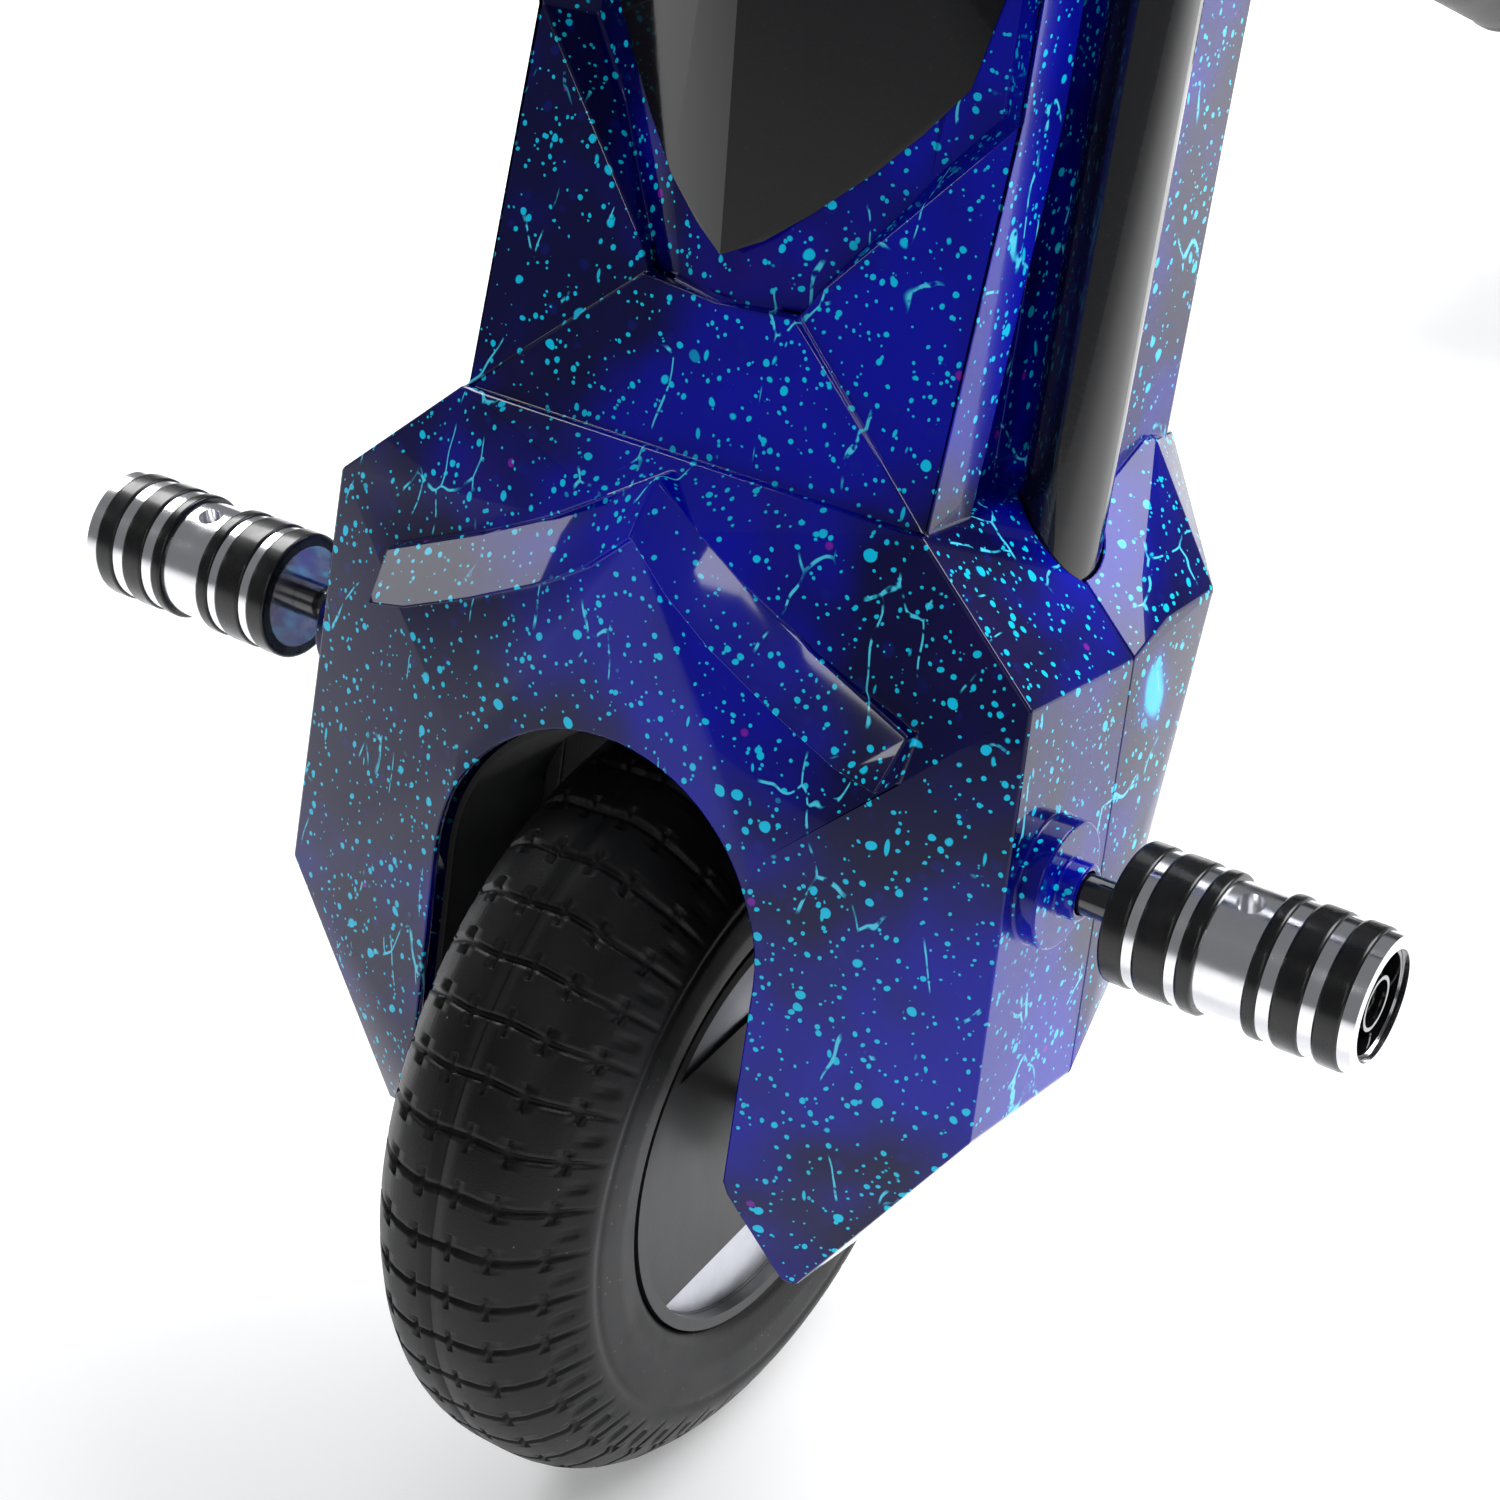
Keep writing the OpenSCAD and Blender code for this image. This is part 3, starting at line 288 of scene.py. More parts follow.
def speckled_film(name="speckled_film"):
    """Printed film under clear coat: blue clouds, round droplets, drips, thin lines and soft blooms."""
    p = Paint(name)
    c = colours()
    clouds = p.noise(9.0, 3.0, 0.55).step(0.44, 0.64)
    haze = p.noise(16.0, 3.0, 0.6, where=p.scaled(shift=(0.3, 0.1, 0.7))).step(0.56, 0.80)
    base = p.mix(clouds, c.deep, c.bright)
    base = p.mix(haze * 0.4, base, c.violet)
    drift = p.warped(0.0022, 160.0)
    dots = None
    for scale, smallest, largest, share in ((330.0, 0.13, 0.25, 0.85), (215.0, 0.13, 0.26, 0.98),
                                            (125.0, 0.11, 0.23, 0.96), (62.0, 0.06, 0.14, 0.80)):
        near, draw, size = p.cells(scale, where=drift)
        radius = (size ** 2.0) * (largest - smallest) + smallest
        dot = (radius - near).step(0.0, 0.03) * draw.step(share, share - 0.02)
        dots = dot if dots is None else dots.largest(dot)
    near, draw, size = p.cells(105.0, where=p.warped(0.005, 110.0, where=p.scaled(x=1.3, y=1.1, z=0.42)))
    drip = (size * 0.07 + 0.055 - near).step(0.0, 0.03) * draw.step(0.62, 0.60)
    near, draw, size = p.cells(11.0, where=p.warped(0.010, 60.0, where=p.scaled(z=0.8)))
    bloom = (near * -1.0 + 0.085).step(0.0, 0.03) * draw.step(0.36, 0.34)
    glow = (near * -1.0 + 0.15).step(0.0, 0.13) * draw.step(0.36, 0.34)
    web = p.cells(34.0, where=p.warped(0.010, 70.0, where=p.scaled(x=1.5, y=1.0, z=0.6)),
                  feature="DISTANCE_TO_EDGE")
    broken = p.noise(38.0, 2.0, where=p.scaled(shift=(0.2, 0.8, 0.5))).step(0.56, 0.60)
    beads = p.noise(330.0, 1.0).step(0.36, 0.50)
    streak = web.step(0.016, 0.008) * broken * beads
    marks = dots.largest(streak).largest(bloom).largest(drip)
    halo_near, _, halo_size = p.cells(150.0, where=drift)
    halo = halo_near.step(0.34, 0.16) * halo_size.step(0.45, 0.8)
    rare, rare_draw, _ = p.cells(85.0, where=p.scaled(shift=(0.5, 0.5, 0.5)))
    magenta = rare.step(0.13, 0.09) * rare_draw.step(0.12, 0.11)
    tint = p.mix(halo * 0.3, base, (0.0, 0.015, 0.30))
    tint = p.mix(glow * 0.7, tint, (0.0, 0.10, 0.75))
    tint = p.mix(magenta, tint, (0.20, 0.010, 0.40))
    tint = p.mix(marks, tint, p.mix(streak * 0.45, c.speckle, (0.20, 0.80, 0.95)))
    dust = p.noise(900.0, 2.0)
    peel = p.noise(260.0, 1.0)
    return p.finish(Base_Color=tint, Roughness=dust * 0.07 + 0.20, Coat_Weight=0.8, Coat_Roughness=0.03,
                    Specular_IOR_Level=0.06, Coat_IOR=1.40, Normal=p.bump(peel + marks * 0.5, 0.00005, 0.4))


def gloss_black(name="gloss_black", rough=0.12, coat=1.0, sheen=0.5):
    """Sprayed gloss black with faint orange peel and hairline scratches in its roughness."""
    p = Paint(name)
    hairs = p.noise(70.0, 3.0, 0.7, where=p.scaled(x=14.0, y=14.0, z=0.8)).step(0.60, 0.78)
    dust = p.noise(1200.0, 2.0).step(0.66, 0.74)
    tint = p.mix(dust * 0.10, colours().black, (0.07, 0.07, 0.075))
    return p.finish(Base_Color=tint, Roughness=hairs * 0.10 + dust * 0.15 + rough, Coat_Weight=coat,
                    Specular_IOR_Level=sheen, Coat_Roughness=0.04,
                    Normal=p.bump(p.noise(420.0, 1.0), 0.00005, 0.35))


def powder_black(name="powder_black"):
    """Powder-coated steel: fine pebbled bump, uneven sheen and paler rubbed spots."""
    p = Paint(name)
    pebble, _, _ = p.cells(1500.0)
    patch = p.noise(22.0, 4.0, 0.6)
    rubbed = p.noise(140.0, 4.0, 0.7).step(0.66, 0.78)
    tint = p.mix(rubbed * 0.35, (0.011, 0.011, 0.012), (0.045, 0.045, 0.048))
    return p.finish(Base_Color=tint, Roughness=patch * 0.22 + 0.30, Metallic=0.0, Specular_IOR_Level=0.5,
                    Normal=p.bump(pebble, 0.00018, 0.45))


def tyre_rubber():
    """Moulded tyre rubber: matte black with dusty hollows, small flecks and fine moulding grain."""
    p = Paint("tyre_rubber")
    rubber = colours().rubber
    grain = p.noise(1600.0, 3.0, 0.65)
    dusty = p.noise(38.0, 5.0, 0.62).step(0.42, 0.74)
    fleck, draw, _ = p.cells(300.0)
    flecks = fleck.step(0.11, 0.07) * draw.step(0.07, 0.06)
    tint = p.mix(dusty * 0.5, rubber, tuple(2.1 * v for v in rubber))
    tint = p.mix(flecks * 0.6, tint, (0.22, 0.22, 0.22))
    return p.finish(Base_Color=tint, Roughness=dusty * 0.12 + grain * 0.08 + 0.34, Specular_IOR_Level=0.24,
                    Normal=p.bump(grain + flecks * 0.7, 0.00022, 0.5))


def gloss_rubber():
    """Glossy black rubber of the peg rings, with fine moulding lines round the ring."""
    p = Paint("gloss_rubber")
    around = p.noise(1.0, 2.0, where=p.scaled(x=2600.0, y=30.0, z=30.0))
    smear = p.noise(120.0, 3.0, 0.6).step(0.35, 0.75)
    return p.finish(Base_Color=p.mix(smear * 0.4, (0.0035, 0.0035, 0.004), (0.010, 0.010, 0.011)),
                    Roughness=smear * 0.14 + 0.24, Coat_Weight=0.25, Coat_Roughness=0.12,
                    Specular_IOR_Level=0.35,
                    Normal=p.bump(around, 0.00004, 0.5))


def turned_metal(name="turned_metal", tint=None, rough=0.10, across=(3200.0, 22.0, 22.0)):
    """Turned and polished metal: fine cutting lines across an axis, and smudges that dull it."""
    p = Paint(name)
    tint = tuple(tint or colours().metal)
    lines = p.noise(1.0, 3.0, 0.6, where=p.scaled(*across))
    smudge = p.noise(75.0, 4.0, 0.6).step(0.38, 0.72)
    shade = p.mix(smudge * 0.3, tint, tuple(0.72 * v for v in tint))
    return p.finish(Base_Color=shade, Metallic=1.0, Roughness=smudge * 0.12 + lines * 0.05 + rough,
                    Normal=p.bump(lines, 0.00003, 0.45))


def zinc_steel():
    """Zinc-plated pressed steel: cloudy spangle and a slightly yellow cast in patches."""
    p = Paint("zinc_steel")
    spangle, draw, _ = p.cells(340.0, where=p.warped(0.002, 200.0))
    patch = p.noise(30.0, 4.0, 0.6).step(0.4, 0.7)
    shade = p.mix(draw * 0.35, (0.55, 0.56, 0.58), (0.70, 0.70, 0.71))
    shade = p.mix(patch * 0.25, shade, (0.56, 0.52, 0.42))
    return p.finish(Base_Color=shade, Metallic=1.0, Roughness=draw * 0.10 + patch * 0.12 + 0.28,
                    Normal=p.bump(spangle, 0.00004, 0.4))


def grained_plastic(name="grained_plastic", tint=(0.016, 0.016, 0.017)):
    """Injection-moulded plastic with leather-like grain and paler handled areas."""
    p = Paint(name)
    grain = p.cells(900.0, where=p.warped(0.0014, 500.0), feature="DISTANCE_TO_EDGE").step(0.0, 0.16)
    handled = p.noise(18.0, 4.0, 0.6).step(0.40, 0.75)
    shade = p.mix(handled * 0.5, tint, tuple(1.9 * v for v in tint))
    return p.finish(Base_Color=shade, Roughness=handled * 0.10 + grain * 0.08 + 0.42,
                    Normal=p.bump(grain, 0.00016, 0.5))


def plain_plastic(name, tint, rough=0.35, glow=None):
    """Smooth moulded plastic with faint flow marks."""
    p = Paint(name)
    flow = p.noise(55.0, 3.0, 0.6, where=p.scaled(x=1.0, y=3.0, z=1.0))
    shade = p.mix(flow * 0.4, tint, tuple(min(1.0, 1.5 * v + 0.003) for v in tint))
    if glow is not None:
        p.finish(Emission_Color=tuple(glow), Emission_Strength=1.0)
    return p.finish(Base_Color=shade, Roughness=flow * 0.12 + rough,
                    Normal=p.bump(p.noise(700.0, 2.0), 0.00005, 0.4))


def woven_fabric():
    """Air-mesh seat cloth from its UV map: a honeycomb of raised threads over a darker ground."""
    p = Paint("woven_fabric")
    fabric = colours().fabric
    cloth = p.node("ShaderNodeUVMap", {}, uv_map="cloth")
    holes, draw, _ = p.cells(340.0, where=cloth)
    thread = holes.step(0.22, 0.46)
    u, v, _ = p.split(cloth)
    rib = (u * 9000.0).sine() * 0.5 + 0.5
    wear = p.noise(14.0, 4.0, 0.6, where=cloth).step(0.45, 0.75)
    shade = p.mix(thread, tuple(0.30 * t for t in fabric), tuple(1.5 * t for t in fabric))
    shade = p.mix(wear * 0.35, shade, tuple(2.6 * t for t in fabric))
    shade = p.mix(draw * 0.12, shade, (0.05, 0.055, 0.065))
    return p.finish(Base_Color=shade, Roughness=thread * 0.08 + 0.80, Sheen_Weight=0.35,
                    Sheen_Roughness=0.5,
                    Normal=p.bump(thread + rib * 0.25, 0.00045, 0.7))


def cell_wrap():
    """Blue shrink wrap over cells, with tight creases; its colour follows the crease bump, with painted shade
    in the hollows and painted light on the ridges.
    """
    p = Paint("cell_wrap")
    crease_and_shade = p.noise(160.0, 4.0, 0.7, where=p.scaled(x=0.25, y=1.0, z=1.0))
    # The colour mix follows the crease bump: painted shade in the hollows, painted light on the ridges.
    return p.finish(Base_Color=p.mix(crease_and_shade, (0.01, 0.06, 0.22), (0.03, 0.16, 0.45)),
                    Roughness=crease_and_shade * 0.15 + 0.15, Coat_Weight=0.5, Normal=p.bump(crease_and_shade, 0.0003, 0.6))


FINISHES = {}


def finish_of(kind):
    """A finish, made once and shared."""
    makers = {
        "film": speckled_film, "gloss_black": gloss_black, "powder_black": powder_black,
        "tyre_rubber": tyre_rubber, "gloss_rubber": gloss_rubber, "turned_metal": turned_metal,
        "zinc_steel": zinc_steel, "grained_plastic": grained_plastic, "woven_fabric": woven_fabric,
        "cell_wrap": cell_wrap,
        "visor_black": lambda: gloss_black("visor_black", rough=0.10, coat=0.35, sheen=0.12),
        "hub_black": lambda: plain_plastic("hub_black", (0.013, 0.013, 0.014), rough=0.30),
        "arch_black": lambda: plain_plastic("arch_black", (0.0025, 0.0025, 0.003), rough=0.55),
        "bright_face": lambda: turned_metal("bright_face", (0.62, 0.63, 0.68), 0.30, (30.0, 30.0, 30.0)),
        "grip_rubber": lambda: grained_plastic("grip_rubber", (0.014, 0.014, 0.015)),
        "caster_rubber": lambda: grained_plastic("caster_rubber", (0.022, 0.022, 0.023)),
        "lens": lambda: plain_plastic("lens", (0.75, 0.76, 0.72), 0.2, (0.35, 0.35, 0.32)),
        "screen": lambda: plain_plastic("screen", (0.004, 0.006, 0.009), 0.06),
        "button_red": lambda: plain_plastic("button_red", (0.42, 0.012, 0.010), 0.28),
        "copper": lambda: turned_metal("copper", (0.72, 0.33, 0.18), 0.30),
    }
    if kind not in FINISHES:
        FINISHES[kind] = makers[kind]()
    return FINISHES[kind]


# ---------- Mesh helpers ----------

def make_object(name, mesh, kind, body, *nodes, slot=None):
    """Links a mesh as a piece, with its finish, its body and the nodes it stands for."""
    piece = bpy.data.objects.new(name, mesh)
    bpy.context.collection.objects.link(piece)
    mesh.materials.clear()
    mesh.materials.append(finish_of(kind))
    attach(piece, body)
    if nodes:
        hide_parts(*nodes)
    return piece


def skin(points, close_u=False, close_v=False):
    """Vertices and quads of a grid of points (rows, columns, 3), closed along either way if asked."""
    rows, cols = points.shape[:2]
    index = np.arange(rows * cols).reshape(rows, cols)
    if close_u:
        index = np.concatenate([index, index[:1]])
    if close_v:
        index = np.concatenate([index, index[:, :1]], axis=1)
    quads = np.stack([index[:-1, :-1], index[1:, :-1], index[1:, 1:], index[:-1, 1:]], -1).reshape(-1, 4)
    return points.reshape(-1, 3), quads


def mesh_from(name, grids, weld=2e-6):
    """A mesh of one or more skinned grids, welded, with closed shells turned outwards."""
    verts = np.concatenate([g[0] for g in grids])
    starts = np.cumsum([0] + [len(g[0]) for g in grids[:-1]])
    quads = np.concatenate([g[1] + s for g, s in zip(grids, starts)])
    mesh = bpy.data.meshes.new(name)
    mesh.vertices.add(len(verts))
    mesh.vertices.foreach_set("co", verts.astype(np.float32).ravel())
    mesh.loops.add(quads.size)
    mesh.loops.foreach_set("vertex_index", quads.astype(np.int32).ravel())
    mesh.polygons.add(len(quads))
    mesh.polygons.foreach_set("loop_start", np.arange(0, quads.size, 4, dtype=np.int32))
    mesh.update(calc_edges=True)
    work = bmesh.new()
    work.from_mesh(mesh)
    bmesh.ops.remove_doubles(work, verts=work.verts, dist=weld)
    bmesh.ops.dissolve_degenerate(work, edges=work.edges, dist=weld / 4)
    bmesh.ops.recalc_face_normals(work, faces=work.faces)
    work.to_mesh(mesh)
    work.free()
    mesh.shade_smooth()
    return mesh


def rounded(corners, radius, steps=4):
    """A closed outline with each corner replaced by a curve between points one radius away from it."""
    corners = np.asarray(corners, float)
    before = np.roll(corners, 1, axis=0)
    after = np.roll(corners, -1, axis=0)
    radius = np.broadcast_to(np.asarray(radius, float), (len(corners),))[:, None]

    def toward(other):
        gap = other - corners
        length = np.linalg.norm(gap, axis=1, keepdims=True)
        return corners + gap / length * np.minimum(radius, 0.45 * length)

    t = np.linspace(0, 1, steps + 1)[None, :, None]
    start, end = toward(before)[:, None], toward(after)[:, None]
    curve = (1 - t) ** 2 * start + 2 * t * (1 - t) * corners[:, None] + t ** 2 * end
    return curve.reshape(-1, 2)


def lathe(outline, centre, steps=96, axis=SIDE):
    """A closed outline of (along, radius) turned about an axis: centre + along*axis + radius*(cos, sin)."""
    first = np.cross(axis, [0.0, 0.0, 1.0]) if abs(axis[2]) < 0.9 else np.array([1.0, 0.0, 0.0])
    first = first / np.linalg.norm(first)
    second = np.cross(axis, first)
    angle = np.linspace(0, TAU, steps, endpoint=False)
    spoke = np.cos(angle)[:, None] * first + np.sin(angle)[:, None] * second
    outline = np.asarray(outline, float)
    points = centre + outline[None, :, :1] * axis + outline[None, :, 1:] * spoke[:, None, :]
    return skin(points, close_u=True, close_v=True)


def soften(piece, width=None, segments=3, angle=28.0, clamp=True):
    """Rounds a piece's edges and evens its shading with live modifiers."""
    if width:
        bevel = piece.modifiers.new("edges", "BEVEL")
        bevel.width = width
        bevel.segments = segments
        bevel.limit_method = "ANGLE"
        bevel.angle_limit = math.radians(angle)
        bevel.use_clamp_overlap = clamp
        bevel.miter_outer = "MITER_ARC"
    shading = piece.modifiers.new("shading", "WEIGHTED_NORMAL")
    shading.keep_sharp = True
    return piece


def corners_of(mesh):
    """A mesh's points as an array."""
    flat = np.empty(len(mesh.vertices) * 3, np.float32)
    mesh.vertices.foreach_get("co", flat)
    return flat.reshape(-1, 3).astype(float)


def shell_copy(node, kind, body, width, segments=3, reshape=None, clamp=True):
    """A copy of a node's mesh, reshaped if asked, with its flat faces joined and its edges rounded."""
    mesh = frame["nodes"][node].data.copy()
    if reshape is not None:
        mesh.vertices.foreach_set("co", reshape(corners_of(mesh)).astype(np.float32).ravel())
    work = bmesh.new()
    work.from_mesh(mesh)
    bmesh.ops.remove_doubles(work, verts=work.verts, dist=1e-5)
    bmesh.ops.dissolve_limit(work, angle_limit=math.radians(1.5), verts=work.verts, edges=work.edges)
    work.to_mesh(mesh)
    work.free()
    mesh.shade_smooth()
    piece = make_object(node + "_look", mesh, kind, body, node)
    return soften(piece, width, segments, clamp=clamp)


def paint_nodes(kind, *nodes):
    """Gives carried-over nodes a finish."""
    for node in nodes:
        part = frame["nodes"][node]
        if not part.data.materials:
            part.data.materials.append(None)
        for place in part.material_slots:
            place.material = finish_of(kind)


def blend(t, low, high):
    """A smooth rise from 0 to 1 as t goes from low to high."""
    s = np.clip((np.asarray(t, float) - low) / (high - low), 0, 1)
    return s * s * (3 - 2 * s)


# ---------- Pieces ----------

class TRIKE_OT_stage(Operator):
    """Floor, soft studio lights and the camera"""

    bl_idname = "trike.stage"
    bl_label = "Stage"

    def execute(self, context):
        floor = bpy.data.meshes.new("floor")
        floor.from_pydata([(-9, -9, 0), (9, -9, 0), (9, 9, 0), (-9, 9, 0)], [], [(0, 1, 2, 3)])
        ground = bpy.data.objects.new("floor", floor)
        bpy.context.collection.objects.link(ground)
        p = Paint("pale_floor")
        soft = p.noise(3.0, 2.0)
        floor.materials.append(p.finish(Base_Color=p.mix(soft, (0.90, 0.90, 0.91), (0.94, 0.94, 0.94)),
                                        Roughness=0.7, Specular_IOR_Level=0.1,
                                        Emission_Color=(1.0, 1.0, 1.0), Emission_Strength=0.22))
        world = bpy.data.worlds.new("studio")
        bpy.context.scene.world = world
        world.use_nodes = True
        back = world.node_tree.nodes["Background"]
        back.inputs["Color"].default_value = (0.94, 0.96, 1.0, 1.0)
        back.inputs["Strength"].default_value = 0.20
        context.scene.view_settings.view_transform = "Standard"
        aim = Vector((0.0, float(WHEEL[1]), 0.25))
        for name, place, size, power in LAMPS:
            lamp = bpy.data.lights.new(name, "AREA")
            lamp.energy = power
            lamp.size = size
            holder = bpy.data.objects.new(name, lamp)
            bpy.context.collection.objects.link(holder)
            holder.location = aim + Vector(place)
            holder.rotation_euler = (aim - holder.location).to_track_quat("-Z", "Y").to_euler()
        camera = bpy.data.cameras.new("camera")
        camera.lens = EYE_LENS
        camera.sensor_width = 36.0
        camera.clip_end = 30.0
        eye = bpy.data.objects.new("camera", camera)
        bpy.context.collection.objects.link(eye)
        eye.location = Vector(tuple(WHEEL + np.array(EYE_OFFSET)))
        level = math.cos(EYE_DROP)
        gaze = Vector((-math.sin(EYE_TURN) * level, math.cos(EYE_TURN) * level, -math.sin(EYE_DROP)))
        eye.rotation_euler = gaze.to_track_quat("-Z", "Y").to_euler()
        bpy.context.scene.camera = eye
        return {"FINISHED"}


def lean_brow(points):
    """Tips the brow's face back: a front point on the crest line w(|x|) moves back by the brow's lean."""
    x, v, w = ((points - WHEEL) @ axis for axis in (SIDE, BACK, UP))
    crest = np.interp(np.abs(x), [0.0, 0.015, 0.033, 0.056, 0.075, 0.090],
                      [0.212, 0.202, 0.1905, 0.179, 0.1705, 0.164])
    front = (v < v.min() + 0.3 * MM) & (np.abs(w - crest) < 0.6 * MM)
    return points + front[:, None] * BACK * sizes().brow_lean


class TRIKE_OT_covers(Operator):
    """Painted front and rear covers of the steered unit"""

    bl_idname = "trike.covers"
    bl_label = "Painted covers"

    def execute(self, context):
        shell_copy("front_cover", "film", "fork", sizes().shell_edge, reshape=lean_brow, clamp=False)
        shell_copy("rear_cover", "film", "fork", sizes().shell_edge, clamp=False)
        return {"FINISHED"}


class TRIKE_OT_tyre(Operator):
    """Front tyre with moulded tread"""

    bl_idname = "trike.tyre"
    bl_label = "Front tyre"

    def execute(self, context):
        """A ring of points: radius and width from the cover's cubic crown, grooves and sipes cut inwards."""
        s = sizes()
        blocks, depth = s.tread_blocks, s.tread_depth
        pitch = TAU * TYRE_R / blocks
        lands = np.array([-0.46, -0.42, -0.36, -0.28]) * pitch
        groove = np.array([-4.6, -4.2, -2.4, -1.15, -0.75, 0.0]) * MM
        half = np.concatenate([lands, groove])
        arc = np.concatenate([half, -half[-2::-1]])
        around = (np.arange(blocks)[:, None] * pitch + arc[None, :]).ravel()
        sipes = np.array([-0.80, -0.48, -0.16, 0.16, 0.48, 0.80])
        across = np.concatenate([
            (sipes[:, None] * TYRE_HALF + np.array([-1.0, -0.62, 0.62, 1.0]) * MM).ravel(),
            np.array([-0.55, -0.28, 0.28, 0.55]) * MM,
            np.linspace(-0.985, 0.985, 17) * TYRE_HALF,
            np.array([-0.945, -0.925, -0.87, 0.87, 0.925, 0.945]) * TYRE_HALF])
        across = np.unique(np.round(across, 6))
        x, arc_at = np.meshgrid(across, around)
        u = x / TYRE_HALF
        wave = 0.5 * MM * np.sin(2.5 * math.pi * u)
        place = (arc_at + pitch / 2) % pitch - pitch / 2
        flat = 1 - blend(np.abs(u), 0.86, 0.97)
        cut = (np.abs(place) < 0.9 * MM) * (0.25 + 0.75 * flat)
        sipe_reach = 4.4 * MM
        for sipe in sipes:
            line = np.abs(x - sipe * TYRE_HALF) < 0.85 * MM
            cut = np.maximum(cut, line * (np.abs(place) < sipe_reach) * 0.95)
        notch = (np.abs(np.abs(place) - pitch / 2) < 0.09 * pitch) * (np.abs(np.abs(u) - 0.9) < 0.04)
        cut = np.maximum(cut, notch * 0.7)
        cut = np.maximum(cut, (np.abs(x) < 0.4 * MM) * 0.28)
        shoulder = TYRE_R - 27.5 * MM
        radius = TYRE_R - (TYRE_R - shoulder) * np.abs(u) ** 3 - cut * depth
        theta = (arc_at + wave) / TYRE_R
        tread = np.stack([x, radius * np.sin(theta), radius * np.cos(theta)], -1) + WHEEL
        bead = half_size("rim_shell")[2] + 0.2 * MM
        wall = rounded(np.array([
            [0.985 * TYRE_HALF, shoulder + 1.1 * MM], [TYRE_HALF - 0.02 * MM, shoulder - 1.6 * MM],
            [TYRE_HALF - 0.5 * MM, shoulder - 4.0 * MM],
            [TYRE_HALF - 0.05 * MM, shoulder - 6.0 * MM], [TYRE_HALF - 0.1 * MM, shoulder - 16 * MM],
            [TYRE_HALF - 2.0 * MM, bead + 3 * MM], [TYRE_HALF - 5 * MM, bead], [TYRE_HALF - 12 * MM, bead],
            [0.0, bead + 1 * MM], [0.0, shoulder]]), 1.6 * MM, 3)
        grids = [skin(tread, close_u=True)]
        edge = tread[:, -1]
        edge_r = np.hypot(edge[:, 1] - WHEEL[1], edge[:, 2] - WHEEL[2])
        spin = np.arctan2(edge[:, 1] - WHEEL[1], edge[:, 2] - WHEEL[2])
        wall = wall[3:-6]
        ring = np.concatenate([[[0.985 * TYRE_HALF, 0.0]], wall])
        for side in (-1, 1):
            angle = spin if side > 0 else np.arctan2(tread[:, 0, 1] - WHEEL[1], tread[:, 0, 2] - WHEEL[2])
            r = np.broadcast_to(ring[None, :, 1], (len(angle), len(ring))).copy()
            r[:, 0] = edge_r
            at = np.broadcast_to(side * ring[None, :, 0], r.shape)
            points = np.stack([at, r * np.sin(angle)[:, None], r * np.cos(angle)[:, None]], -1) + WHEEL
            grids.append(skin(points, close_u=True))
        mesh = mesh_from("tyre_look", grids, weld=4e-6)
        make_object("tyre_look", mesh, "tyre_rubber", "front_wheel", "tyre")
        return {"FINISHED"}


class TRIKE_OT_pegs(Operator):
    """Foot pegs: turned cores, rounded rubber rings and moulded plugs"""

    bl_idname = "trike.pegs"
    bl_label = "Foot pegs"

    def execute(self, context):
        """Each band is an outline of (along, radius) with rounded corners, turned about the peg."""
        for side, sign in (("left", 1.0), ("right", -1.0)):
            paint_nodes("turned_metal", "peg_core_" + side)
            rings = corners_of(frame["nodes"]["peg_rings_" + side].data)
            along = np.unique(np.round(rings[:, 0] * sign, 5))
            outer = half_size("peg_rings_" + side)[1]
            centre = middle("peg_rings_" + side) * np.array([0.0, 1.0, 1.0])
            bands = []
            for a, b in zip(along[::2], along[1::2]):
                outline = rounded([[a, outer - 4 * MM], [b, outer - 4 * MM], [b, outer], [a, outer]],
                                  [0.2 * MM, 0.2 * MM, 1.3 * MM, 1.3 * MM], 4)
                bands.append(lathe(outline * np.array([sign, 1.0]), centre, 96))
            mesh = mesh_from("peg_rings_%s_look" % side, bands)
            soften(make_object("peg_rings_%s_look" % side, mesh, "gloss_rubber", "fork",
                               "peg_rings_" + side))
        shell_copy("peg_plugs", "gloss_black", "fork", 0.25 * MM, 2)
        return {"FINISHED"}


